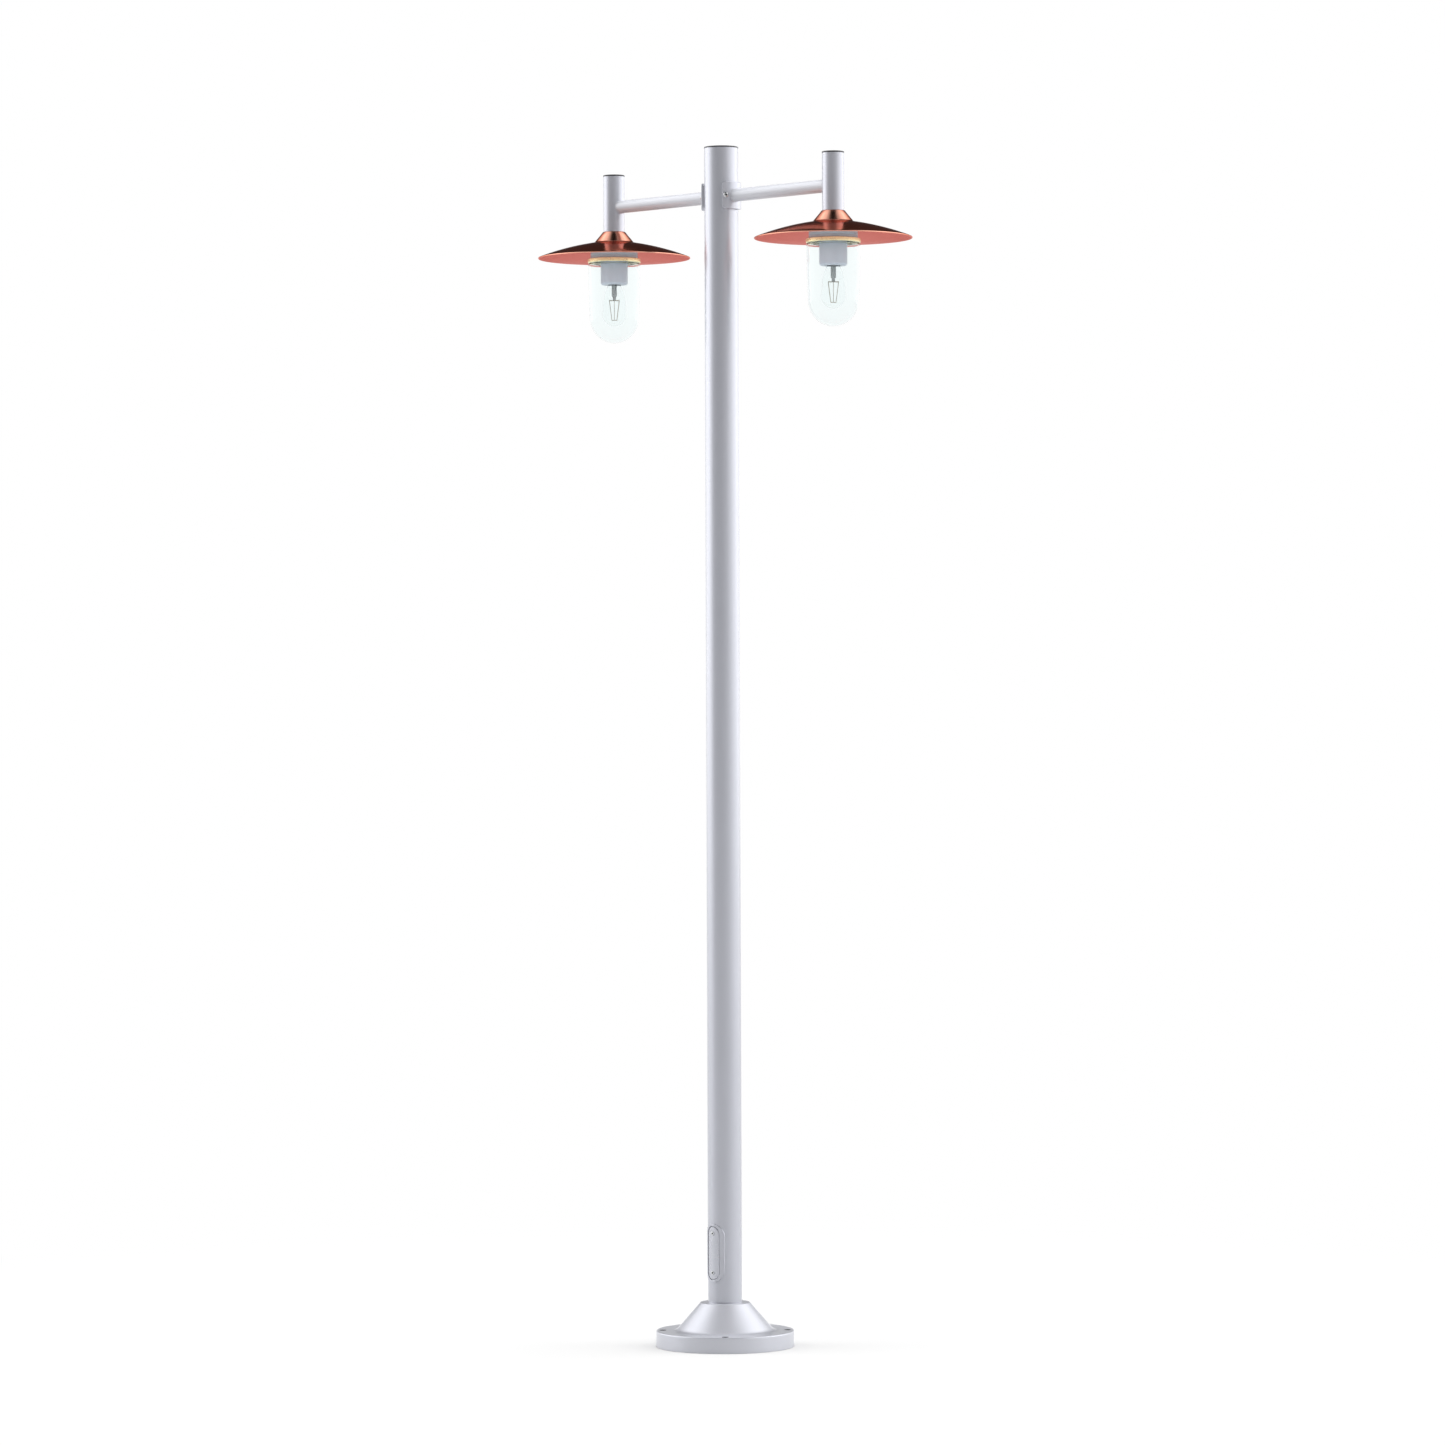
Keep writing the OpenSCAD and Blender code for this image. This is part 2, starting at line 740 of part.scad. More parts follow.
module gallery_flange() {
  color([0.62, 0.66, 0.67]) in_lamp() difference() {
    turned([
      [nipple_r + fit, plate_under],
      [skirt_bore_r, plate_under],
      [skirt_bore_r, skirt_low],
      [skirt_r, skirt_low],
      [skirt_r, gallery_low],
      [gallery_r, gallery_low],
      [gallery_r, groove_top - groove_h],
      [gallery_r - groove_depth, groove_top - groove_h],
      [gallery_r - groove_depth, groove_top],
      [gallery_r - 0.4, groove_top],
      [gallery_r - 1.4, gallery_top + 1.2],
      [gallery_r - 2.6, gallery_top],
      [nipple_r + fit, gallery_top],
    ]);
    for (a = gallery_screw_angles) rotate([0, 0, a]) translate([gallery_screw_at, 0, plate_under]) {
      translate([0, 0, -over]) cylinder(r = 2 + fit, h = gallery_plate_t + 2 * over);
      translate([0, 0, -over]) cylinder(r = 4 + fit, h = over + 2.4);
    }
  }
}

module gallery_screws() {
  color([0.75, 0.76, 0.78]) in_lamp() for (a = gallery_screw_angles) {
    rotate([0, 0, a]) translate([gallery_screw_at, 0, plate_under]) difference() {
      union() {
        cylinder(r = 4, h = 2.4);
        cylinder(r = 2, h = gallery_plate_t + 9);
      }
      translate([0, 0, -over]) cylinder(r = 1.4, h = over + 1.4, $fn = 6);
    }
  }
}

module holder_cover() {
  color([0.66, 0.67, 0.72]) in_lamp() turned(concat(
    [[nipple_r + fit, plate_under], [cover_r, plate_under]],
    arc([cover_r - cover_round, cover_low + cover_round], cover_round, 0, -90, 5),
    [[mouth_d / 2, cover_low], [mouth_d / 2, cover_low + cover_t]],
    arc([cover_r - cover_round, cover_low + cover_round], cover_round - cover_t, -90, 0, 5),
    [[cover_r - cover_t, plate_under - 2.5], [nipple_r + fit, plate_under - 2.5]]
  ));
}

module lampholder() {
  bore_top = cap_low + cap_len + 5;
  color([0.93, 0.92, 0.88]) in_lamp() turned([
    [cap_r + 0.1, holder_low],
    [holder_r - 1.5, holder_low],
    [holder_r, holder_low + 1.5],
    [holder_r, holder_top - 14],
    [holder_r - 6, holder_top - 4],
    [11, holder_top],
    [nipple_r + fit, holder_top],
    [nipple_r + fit, holder_top - nipple_in],
    [lead_hole_r, holder_top - nipple_in],
    [lead_hole_r, bore_top],
    [cap_r + 0.1, bore_top],
  ]);
}

module holder_nipple() {
  color([0.78, 0.62, 0.3]) in_lamp() {
    tube(nipple_r, nipple_bore_r, holder_top - nipple_in, gallery_top + locknut_t + 2);
  }
}

module holder_locknuts() {
  color([0.78, 0.62, 0.3]) in_lamp() for (z = [gallery_top, plate_under - 2.5 - locknut_t]) {
    translate([0, 0, z]) difference() {
      cylinder(r = locknut_hex_r, h = locknut_t, $fn = 6);
      translate([0, 0, -over]) cylinder(r = nipple_r + fit, h = locknut_t + 2 * over);
    }
  }
}

module glass_gasket() {
  color([0.85, 0.82, 0.7]) in_lamp() tube(bead_r, neck_r - glass_t + 0.5, bead_top, bead_top + gasket_t);
}

module globe_glass() {
  shoulder = [
    [neck_r, ring_low - 0.8],
    [glass_r - 6, ring_low - 1.2],
    [glass_r - 2.2, ring_low - 3.2],
  ];
  color([0.9, 0.97, 0.98, 0.35]) in_lamp() turned(concat(
    [[neck_r - glass_t, bead_top], [bead_r, bead_top], [bead_r, bead_low], [neck_r, bead_low]],
    shoulder,
    [[glass_r, shoulder_low]],
    dome(glass_low_r, dome_top, glass_low, 12),
    reversed(dome(glass_low_r - glass_t, dome_top, glass_low + glass_t, 12)),
    [[glass_r - glass_t, shoulder_low]],
    [[glass_r - 4.6, ring_low - 5.6], [glass_r - 7.4, ring_low - 4.2], [neck_r - glass_t, ring_low - 3.6]]
  ));
}

module glass_ring() {
  color([0.83, 0.69, 0.32]) in_lamp() turned([
    [lip_r, ring_low],
    [ring_r - 1, ring_low],
    [ring_r, ring_low + 1],
    [ring_r, ring_top - 1],
    [ring_r - 1, ring_top],
    [gallery_r - 0.3, ring_top],
    [gallery_r - 0.3, ring_low + lip_t],
    [lip_r, ring_low + lip_t],
  ]);
}

module bulb_cap() {
  ridges = [for (i = [0:5], s = [0, 1]) [cap_r - 0.7 * s, cap_low + 3 + thread_pitch * (i + s / 2)]];
  top = cap_low + cap_len;
  color([0.8, 0.79, 0.74]) in_lamp() turned(concat(
    [[cap_r - 1, cap_low], [cap_r, cap_low]],
    ridges,
    [[cap_r - 3, top], [5, top + 1.5], [4.2, top + 3.4], [0, top + 4]],
    [[0, top - 1], [cap_r - 3.6, top - 2.2], [cap_r - 1.7, top - 5], [cap_r - 1.7, cap_low + 1]]
  ));
}

// Half section of the bulb's envelope, from its neck down to its lowest point
function envelope(d) = concat(
  [[cap_r - 2 - d, cap_low + 8], [cap_r - 2 - d, cap_low - 2]],
  [[cap_r + 1 - d, cap_low - 8], [0.55 * bulb_r - d, cap_low - 14]],
  [[0.77 * bulb_r - d, cap_low - 32], [0.9 * bulb_r - d, cap_low - 50], [0.98 * bulb_r - d, cap_low - 72]],
  dome(bulb_r - d, bulb_mid, bulb_low + d, 10)
);

module bulb_glass() {
  color([0.95, 0.98, 1, 0.3]) in_lamp() turned(concat(envelope(0), reversed(envelope(bulb_t))));
}

module bulb_stem() {
  color([0.7, 0.72, 0.74]) in_lamp() turned([
    [0, filament_top + 1],
    [pinch_r, filament_top + 1],
    [pinch_r, filament_top + 9],
    [stem_glass_r, filament_top + 12],
    [stem_glass_r, cap_low - 4],
    [cap_r - 3.2, cap_low + 2],
    [0, cap_low + 2],
  ]);
}

module bulb_filaments() {
  lean = atan((filament_wide - filament_narrow) / (filament_top - filament_low));
  long = norm([filament_wide - filament_narrow, filament_top - filament_low]);
  color([0.6, 0.58, 0.5]) in_lamp() union() {
    for (a = [0:90:270]) rotate([0, 0, a]) translate([filament_narrow, 0, filament_low]) {
      rotate([0, lean, 0]) cylinder(r = wire_r, h = long, $fn = 16);
    }
    for (a = [0, 90], end = [[filament_wide, filament_top], [filament_narrow, filament_low]]) {
      rotate([0, 0, a]) translate([-end[0], 0, end[1]]) along_x() {
        cylinder(r = wire_r, h = 2 * end[0], $fn = 16);
      }
    }
    translate([0, 0, filament_low]) cylinder(r = wire_r, h = filament_top - filament_low + 1, $fn = 16);
  }
}

base_casting();
base_set_screws();
pole_foot();
pole_tube();
pole_cap();
pole_grommets();
plate_bolts();
rivet_nuts();
door_frame();
door_cover();
door_gasket();
door_screw_upper();
door_screw_lower();
terminal_bracket();
terminal_box();
terminal_lid();
terminal_block();
box_glands();
box_screws();
earth_stud();
left() saddle_plate();  // left_saddle_plate
left() arm_tube();  // left_arm_tube
left() stem_tube();  // left_stem_tube
left() stem_cap();  // left_stem_cap
left() lamp_lead();  // left_lamp_lead
left() shade();  // left_shade
left() neck_collar();  // left_neck_collar
left() gallery_flange();  // left_gallery_flange
left() gallery_screws();  // left_gallery_screws
left() holder_cover();  // left_holder_cover
left() lampholder();  // left_lampholder
left() holder_nipple();  // left_holder_nipple
left() holder_locknuts();  // left_holder_locknuts
left() glass_gasket();  // left_glass_gasket
left() globe_glass();  // left_globe_glass
left() glass_ring();  // left_glass_ring
left() bulb_cap();  // left_bulb_cap
left() bulb_glass();  // left_bulb_glass
left() bulb_stem();  // left_bulb_stem
left() bulb_filaments();  // left_bulb_filaments
right() saddle_plate();  // right_saddle_plate
right() arm_tube();  // right_arm_tube
right() stem_tube();  // right_stem_tube
right() stem_cap();  // right_stem_cap
right() lamp_lead();  // right_lamp_lead
right() shade();  // right_shade
right() neck_collar();  // right_neck_collar
right() gallery_flange();  // right_gallery_flange
right() gallery_screws();  // right_gallery_screws
right() holder_cover();  // right_holder_cover
right() lampholder();  // right_lampholder
right() holder_nipple();  // right_holder_nipple
right() holder_locknuts();  // right_holder_locknuts
right() glass_gasket();  // right_glass_gasket
right() globe_glass();  // right_globe_glass
right() glass_ring();  // right_glass_ring
right() bulb_cap();  // right_bulb_cap
right() bulb_glass();  // right_bulb_glass
right() bulb_stem();  // right_bulb_stem
right() bulb_filaments();  // right_bulb_filaments
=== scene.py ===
# Twin-arm lamp post with two copper-shaded well-glass lanterns, set in its CAD frame.
# Metres, +Z up; sections of turned pieces are written in millimetres.
import math

import bmesh
import bpy
from mathutils import Matrix, Vector


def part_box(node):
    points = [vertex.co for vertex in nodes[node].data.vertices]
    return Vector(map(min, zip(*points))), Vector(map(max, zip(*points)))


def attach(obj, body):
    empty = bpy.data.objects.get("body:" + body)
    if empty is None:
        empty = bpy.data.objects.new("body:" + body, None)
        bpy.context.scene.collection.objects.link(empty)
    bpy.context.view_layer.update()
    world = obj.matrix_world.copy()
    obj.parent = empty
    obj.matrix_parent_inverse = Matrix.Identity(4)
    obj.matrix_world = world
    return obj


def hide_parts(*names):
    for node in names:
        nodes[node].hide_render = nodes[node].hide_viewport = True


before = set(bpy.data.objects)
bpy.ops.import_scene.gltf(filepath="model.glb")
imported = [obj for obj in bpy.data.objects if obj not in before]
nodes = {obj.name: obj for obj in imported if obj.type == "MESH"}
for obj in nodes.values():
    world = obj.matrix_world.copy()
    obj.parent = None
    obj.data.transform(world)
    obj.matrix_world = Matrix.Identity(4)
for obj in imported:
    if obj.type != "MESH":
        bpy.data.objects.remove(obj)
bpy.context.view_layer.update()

scene = bpy.context.scene


# === Camera ===
# A long lens at eye height, level, between the service door and the right arm.
camera_distance = 13.92
camera_height = 1.65
camera_azimuth = math.radians(45.0)
camera_roll = math.radians(-0.2)
camera_pan = math.radians(0.0065)


def linked(name, data):
    """A new object of that name and data, in the scene."""
    made = bpy.data.objects.new(name, data)
    scene.collection.objects.link(made)
    return made


lens_data = bpy.data.cameras.new("studio_camera")
lens_data.sensor_width = 36.0
lens_data.lens = 131.0
lens_data.clip_end = 200.0
camera = linked("studio_camera", lens_data)
to_camera = Vector((math.sin(camera_azimuth), -math.cos(camera_azimuth), 0.0))
camera.location = to_camera * camera_distance + Vector((0, 0, camera_height))
level = (-to_camera).to_track_quat("-Z", "Y").to_matrix()
pan, roll = Matrix.Rotation(camera_pan, 3, "Y"), Matrix.Rotation(camera_roll, 3, "Z")
camera.rotation_euler = (level @ pan @ roll).to_euler()
scene.camera = camera
scene.view_settings.view_transform = "Standard"
scene.view_settings.look = "None"


# === Studio light ===
# A white room: a tall soft light on the left and a wide one on the right, under
# a dark ceiling, and an overhead light for the floor that copper and glass
# don't mirror.
# Light by bearing: 0 degrees is towards the camera, and plus is the picture's right
light_low_in_the_room = [
    (-180, 1.0), (-150, 1.3), (-125, 2.6), (-98, 3.0), (-80, 1.8), (-62, 0.48), (-30, 0.37),
    (-5, 0.45), (25, 0.82), (55, 1.5), (85, 2.4), (115, 2.9), (150, 1.6), (180, 1.0),
]
light_high_in_the_room = [
    (-180, 0.05), (-158, 0.10), (-140, 1.1), (-122, 2.4), (-95, 2.6), (-72, 1.4), (-50, 0.30), (-30, 0.15),
    (0, 0.15), (30, 0.30), (58, 1.6), (85, 2.5), (122, 2.4), (140, 1.2), (158, 0.10), (180, 0.05),
]
# Light by the sine of the height over the floor
light_by_height = [(0.0, 1.0), (0.5, 1.0), (0.75, 0.9), (0.90, 0.5), (0.965, 0.25), (0.985, 0.04),
                   (1.0, 0.02)]
# Between these sines the low light goes over into the high light
low_light_end, high_light_start = 0.06, 0.24
light_top_value = 3.0
overhead_size, overhead_height, overhead_power = 12.0, 20.0, 4300.0


def put(tree, kind, inputs=(), output=0, **settings):
    """Adds a node with its settings, sets or links its inputs by name or number, and gives an output."""
    made = tree.nodes.new(kind)
    for name, value in settings.items():
        setattr(made, name, value)
    for key, value in dict(inputs).items():
        if isinstance(value, bpy.types.NodeSocket):
            tree.links.new(value, made.inputs[key])
        else:
            made.inputs[key].default_value = value
    return made if output is None else made.outputs[output]


def reckon(tree, operation, *values):
    """A Math node on sockets or plain numbers."""
    return put(tree, "ShaderNodeMath", dict(enumerate(values)), operation=operation)


def grey(value):
    """A grey as a colour socket takes it."""
    return (value, value, value, 1.0)


def ramp(tree, place, stops, scale=1.0):
    """A colour ramp of greys from (place, value) stops, whose values are divided by scale."""
    node = put(tree, "ShaderNodeValToRGB", {0: place}, None)
    band = node.color_ramp
    band.interpolation = "EASE"
    while len(band.elements) > 1:
        band.elements.remove(band.elements[-1])
    for i, (at, value) in enumerate(stops):
        spot = band.elements[0] if i == 0 else band.elements.new(at)
        spot.position = at
        spot.color = grey(value / scale)
    return node.outputs["Color"]


room = bpy.data.worlds.new("studio_room")
room.use_nodes = True
scene.world = room
tree = room.node_tree
tree.nodes.clear()
turned_to_camera = put(tree, "ShaderNodeVectorRotate", {
    "Vector": put(tree, "ShaderNodeTexCoord", output="Generated"), "Angle": math.pi / 2 - camera_azimuth},
    rotation_type="Z_AXIS")
way = put(tree, "ShaderNodeSeparateXYZ", {0: turned_to_camera}, None).outputs
share = put(tree, "ShaderNodeMapRange", {
    "Value": reckon(tree, "ARCTAN2", way["Y"], way["X"]), "From Min": -math.pi, "From Max": math.pi})
low_room, high_room = (ramp(tree, share, [((a + 180) / 360, v) for a, v in stops], light_top_value)
                       for stops in (light_low_in_the_room, light_high_in_the_room))
rise = put(tree, "ShaderNodeMapRange", {
    "Value": way["Z"], "From Min": low_light_end, "From Max": high_light_start},
    interpolation_type="SMOOTHSTEP")
# A colour Mix node takes its two colours on inputs 6 and 7 and gives them on output 2
round_room = put(tree, "ShaderNodeMix", {"Factor": rise, 6: low_room, 7: high_room}, 2, data_type="RGBA")
dimmed = put(tree, "ShaderNodeMix", {"Factor": 1.0, 6: round_room, 7: ramp(tree, way["Z"], light_by_height)},
             2, data_type="RGBA", blend_type="MULTIPLY")
lit = put(tree, "ShaderNodeBackground", {"Color": dimmed, "Strength": light_top_value})
white = put(tree, "ShaderNodeBackground", {"Color": grey(1.0)})
ray = put(tree, "ShaderNodeLightPath", output=None).outputs
seen = reckon(tree, "MAXIMUM", ray["Is Camera Ray"], ray["Is Transmission Ray"])
shown = put(tree, "ShaderNodeMixShader", {"Fac": seen, 1: lit, 2: white})
put(tree, "ShaderNodeOutputWorld", {"Surface": shown}, None)
overhead = bpy.data.lights.new("overhead_softbox", "AREA")
overhead.size = overhead_size
overhead.energy = overhead_power
softbox = linked("overhead_softbox", overhead)
softbox.location = (0, 0, overhead_height)
softbox.visible_camera = softbox.visible_glossy = softbox.visible_transmission = False


# === Floor ===
# A matt white studio floor that takes a soft shadow round the base and goes
# over into the white of the room further out.
floor_half = 60.0
floor_near = 1.3
floor_far = 3.2
floor_matt = 0.575
floor_glow = 0.02

floor_mesh = bpy.data.meshes.new("studio_floor")
corners = [(sx * floor_half, sy * floor_half, 0) for sx, sy in ((-1, -1), (1, -1), (1, 1), (-1, 1))]
floor_mesh.from_pydata(corners, [], [(0, 1, 2, 3)])
floor = linked("studio_floor", floor_mesh)
paint = bpy.data.materials.new("studio_floor")
paint.use_nodes = True
tree = paint.node_tree
tree.nodes.clear()
away = put(tree, "ShaderNodeVectorMath", {0: put(tree, "ShaderNodeTexCoord", output="Object")}, "Value",
           operation="LENGTH")
fade = put(tree, "ShaderNodeMapRange", {"Value": away, "From Min": floor_near, "From Max": floor_far},
           interpolation_type="SMOOTHSTEP")
near_floor = put(tree, "ShaderNodeAddShader", {
    0: put(tree, "ShaderNodeBsdfDiffuse", {"Color": grey(floor_matt)}),
    1: put(tree, "ShaderNodeEmission", {"Strength": floor_glow})})
mixed = put(tree, "ShaderNodeMixShader", {"Fac": fade, 1: near_floor, 2: put(tree, "ShaderNodeEmission")})
put(tree, "ShaderNodeOutputMaterial", {"Surface": mixed}, None)
floor_mesh.materials.append(paint)


# === Base casting ===
# One grey iron casting: a disc with four anchor holes, a cone and a boss that
# the pole stands in, ribbed underneath and powder coated in silver.
disc_r, disc_h, base_h = 182.5, 42.0, 116.5
foot_r, top_r, boss_r = 130.0, 65.0, 56.0
socket_r, socket_z, ledge_bore_r = 45.05, 14.0, 38.0
base_wall = 8.0
anchor_r, anchor_hole_r, anchor_boss_r = 165.0, 8.0, 17.0
# hole_shade_margin: how far past an anchor hole's radius the painted shade reaches
anchor_chamfer, hole_shade_margin = 1.6, 1.75
rib_thick = 8.0
set_screw_angles = (45, 165, 285)
set_screw_z, set_screw_hole_r = 70.0, 4.05

FLOAT, COLOUR, VECTOR = "NodeSocketFloat", "NodeSocketColor", "NodeSocketVector"
GEOMETRY, WHOLE, FINISH = "NodeSocketGeometry", "NodeSocketInt", "NodeSocketMaterial"


def group_of(name, kind, inputs, outputs):
    """A node group with named sockets: the group, what it is given, and where its results go."""
    group = bpy.data.node_groups.new(name, kind)
    for way, sockets in (("INPUT", inputs), ("OUTPUT", outputs)):
        for socket, sort, *value in sockets:
            made = group.interface.new_socket(name=socket, in_out=way, socket_type=sort)
            if value:
                made.default_value = value[0]
    return group, group.nodes.new("NodeGroupInput").outputs, group.nodes.new("NodeGroupOutput").inputs


def raised(tree, pattern, height):
    """The normal of a surface with a pattern standing a millimetre out of it, times height."""
    return put(tree, "ShaderNodeBump", {"Height": pattern, "Strength": height, "Distance": 0.001}, "Normal")


# Uneven tone: soft clouds and fine specks change the colour and the gloss a little
uneven_tone, given, result = group_of(
    "uneven_tone", "ShaderNodeTree",
    [("Vector", VECTOR), ("Tone", COLOUR, grey(0.5)), ("Spread", FLOAT, 0.05), ("Cloud Scale", FLOAT, 6.0),
     ("Speck Scale", FLOAT, 600.0), ("Roughness", FLOAT, 0.4), ("Roughness Spread", FLOAT, 0.05)],
    [("Color", COLOUR), ("Roughness", FLOAT)])
clouds, specks = (put(uneven_tone, "ShaderNodeTexNoise", {
    "Vector": given["Vector"], "Scale": given[scale], "Detail": detail})
    for scale, detail in (("Cloud Scale", 4.0), ("Speck Scale", 2.0)))
centred = reckon(uneven_tone, "SUBTRACT", reckon(uneven_tone, "ADD", clouds, specks), 1.0)
gain = reckon(uneven_tone, "MULTIPLY_ADD", centred, given["Spread"], 1.0)
toned = put(uneven_tone, "ShaderNodeVectorMath", {0: given["Tone"], "Scale": gain}, operation="SCALE")
uneven_tone.links.new(toned, result["Color"])
gloss = reckon(uneven_tone, "MULTIPLY_ADD", centred, given["Roughness Spread"], given["Roughness"])
gloss.node.use_clamp = True
uneven_tone.links.new(gloss, result["Roughness"])

# Fine relief: the orange peel of a powder coat, the grain of a casting, the pull of a moulding
fine_relief, given, result = group_of(
    "fine_relief", "ShaderNodeTree",
    [("Vector", VECTOR), ("Scale", FLOAT, 500.0), ("Height", FLOAT, 0.02)], [("Normal", VECTOR)])
peel = put(fine_relief, "ShaderNodeTexNoise", {"Vector": given["Vector"], "Scale": given["Scale"],
                                               "Detail": 3.0})
fine_relief.links.new(raised(fine_relief, peel, given["Height"]), result["Normal"])

# Turning lines: fine rings round an upright axis, as a lathe or a spinning tool leaves them
turning_lines, given, result = group_of(
    "turning_lines", "ShaderNodeTree",
    [("Vector", VECTOR), ("Axis X", FLOAT, 0.0), ("Lines", FLOAT, 900.0), ("Height", FLOAT, 0.05)],
    [("Normal", VECTOR)])
at = put(turning_lines, "ShaderNodeSeparateXYZ", {0: given["Vector"]}, None).outputs
from_axis = reckon(turning_lines, "SUBTRACT", reckon(turning_lines, "ABSOLUTE", at["X"]), given["Axis X"])
flat = put(turning_lines, "ShaderNodeCombineXYZ", {"X": from_axis, "Y": at["Y"]})
radius = put(turning_lines, "ShaderNodeVectorMath", {0: flat}, "Value", operation="LENGTH")
station = put(turning_lines, "ShaderNodeCombineXYZ", {"X": radius, "Y": at["Z"]})
rings = put(turning_lines, "ShaderNodeTexNoise", {"Vector": station, "Scale": given["Lines"], "Detail": 2.0})
turning_lines.links.new(raised(turning_lines, rings, given["Height"]), result["Normal"])


def finish_of(name, tone, roughness, metallic=0.0, spread=0.05, clouds=6.0, specks=600.0, gloss_spread=0.06,
              relief=(500.0, 0.03), lines=None, **sockets):
    """A procedural material. relief is (scale, height), lines is (axis x, scale, height) for a turned piece,
    and further sockets are set on the shader."""
    made = bpy.data.materials.new(name)
    made.use_nodes = True
    tree = made.node_tree
    shader = tree.nodes["Principled BSDF"]
    shader.inputs["Metallic"].default_value = metallic
    for socket, value in sockets.items():
        shader.inputs[socket.replace("_", " ").title().replace("Ior", "IOR")].default_value = value
    where = put(tree, "ShaderNodeTexCoord", output="Object")
    tones = put(tree, "ShaderNodeGroup", {
        "Vector": where, "Tone": (*tone, 1.0), "Spread": spread, "Cloud Scale": clouds, "Speck Scale": specks,
        "Roughness": roughness, "Roughness Spread": gloss_spread}, None, node_tree=uneven_tone).outputs
    if lines is None:
        surface, values = fine_relief, dict(zip(("Scale", "Height"), relief))
    else:
        surface, values = turning_lines, dict(zip(("Axis X", "Lines", "Height"), lines))
    normal = put(tree, "ShaderNodeGroup", {"Vector": where, **values}, "Normal", node_tree=surface)
    for socket, value in (("Base Color", tones["Color"]), ("Roughness", tones["Roughness"]),
                          ("Normal", normal)):
        tree.links.new(value, shader.inputs[socket])
    return made


def rounded(points, radius=0.6, closed=True, steps=4):
    """The section with each corner filleted, and a guard point past each fillet so flats shade flat."""
    nearly_straight = math.radians(168)
    longest_run, longest_guard = 0.42, 0.06
    count = len(points)
    result = []
    for i, here in enumerate(points):
        p = Vector(here[:2])
        r = here[2] if len(here) > 2 else radius
        a = Vector(points[i - 1][:2]) - p
        b = Vector(points[(i + 1) % count][:2]) - p
        corner = a.angle(b, math.pi)
        open_end = not closed and i in (0, count - 1)
        if open_end or r <= 0 or corner > nearly_straight:
            result.append(p)
            continue
        run = min(r / math.tan(corner / 2), longest_run * a.length, longest_run * b.length)
        guard = min(0.5 * run, longest_guard * a.length, longest_guard * b.length)
        a.normalize()
        b.normalize()
        start, end = p + a * run, p + b * run
        result.append(p + a * (run + guard))
        for k in range(steps + 1):
            t = k / steps
            result.append(start * (1 - t) ** 2 + p * 2 * t * (1 - t) + end * t ** 2)
        result.append(p + b * (run + guard))
    return result


def input_id(group, name):
    """The identifier of a node group's named input, which its modifier's value is set by."""
    return next(s.identifier for s in group.interface.items_tree
                if s.item_type == "SOCKET" and s.in_out == "INPUT" and s.name == name)


def geometry_group(name, inputs):
    """A Geometry Nodes tree with a Geometry input and output and named inputs."""
    return group_of(name, "GeometryNodeTree", [("Geometry", GEOMETRY), *inputs], [("Geometry", GEOMETRY)])


def coated(tree, geometry, finish):
    """Realize Instances and Set Material, which end a tree."""
    real = put(tree, "GeometryNodeRealizeInstances", {0: geometry})
    return put(tree, "GeometryNodeSetMaterial", {"Geometry": real, "Material": finish})


# Turned piece: a grid whose columns are the points of a half section, wrapped round an upright axis
turned_tree, given, result = geometry_group("turned_piece", [
    ("Section Points", WHOLE, 8), ("Segments", WHOLE, 64), ("Axis X", FLOAT, 0.0), ("Finish", FINISH)])
across = reckon(turned_tree, "ADD", given["Segments"], 1)
grid = put(turned_tree, "GeometryNodeMeshGrid", {"Vertices X": given["Section Points"], "Vertices Y": across},
           "Mesh")
index = put(turned_tree, "GeometryNodeInputIndex")
station = reckon(turned_tree, "FLOOR", reckon(turned_tree, "DIVIDE", reckon(turned_tree, "ADD", index, 0.5),
                                              across))
turn = reckon(turned_tree, "SUBTRACT", index, reckon(turned_tree, "MULTIPLY", station, across))
angle = reckon(turned_tree, "MULTIPLY", reckon(turned_tree, "DIVIDE", turn, given["Segments"]), 2 * math.pi)
on_section = put(turned_tree, "GeometryNodeSampleIndex", {
    "Geometry": given["Geometry"], "Value": put(turned_tree, "GeometryNodeInputPosition"), "Index": station},
    data_type="FLOAT_VECTOR")
half = put(turned_tree, "ShaderNodeSeparateXYZ", {0: on_section}, None).outputs
out_x = reckon(turned_tree, "MULTIPLY", half["X"], reckon(turned_tree, "COSINE", angle))
out_y = reckon(turned_tree, "MULTIPLY", half["X"], reckon(turned_tree, "SINE", angle))
wrapped = put(turned_tree, "ShaderNodeCombineXYZ", {
    "X": reckon(turned_tree, "ADD", out_x, given["Axis X"]), "Y": out_y, "Z": half["Z"]})
laid = put(turned_tree, "GeometryNodeSetPosition", {"Geometry": grid, "Position": wrapped})
seamless = put(turned_tree, "GeometryNodeMergeByDistance", {"Geometry": laid, "Distance": 1e-6})
turned_tree.links.new(coated(turned_tree, seamless, given["Finish"]), result["Geometry"])


def baked(source, tree, values, name):
    """The object's evaluated mesh under a Geometry Nodes tree, as a plain object of that name."""
    live = source.modifiers.new("shape", "NODES")
    live.node_group = tree
    for socket, value in values.items():
        live[input_id(tree, socket)] = value
    source.update_tag()
    mesh = bpy.data.meshes.new_from_object(source.evaluated_get(bpy.context.evaluated_depsgraph_get()))
    mesh.name = name
    finishes = [m for m in mesh.materials if m]
    slots = [finishes.index(m) if m else 0 for m in mesh.materials]
    indices = [slots[face.material_index] for face in mesh.polygons]
    mesh.materials.clear()
    for finish in finishes:
        mesh.materials.append(finish)
    for face, k in zip(mesh.polygons, indices):
        face.material_index = k
    bpy.data.objects.remove(source)
    return linked(name, mesh)


def smooth(piece, sharp_above=38.0):
    """Smooth shading, with edges sharper than the angle kept."""
    piece.data.shade_smooth()
    piece.data.set_sharp_from_angle(angle=math.radians(sharp_above))
    return piece


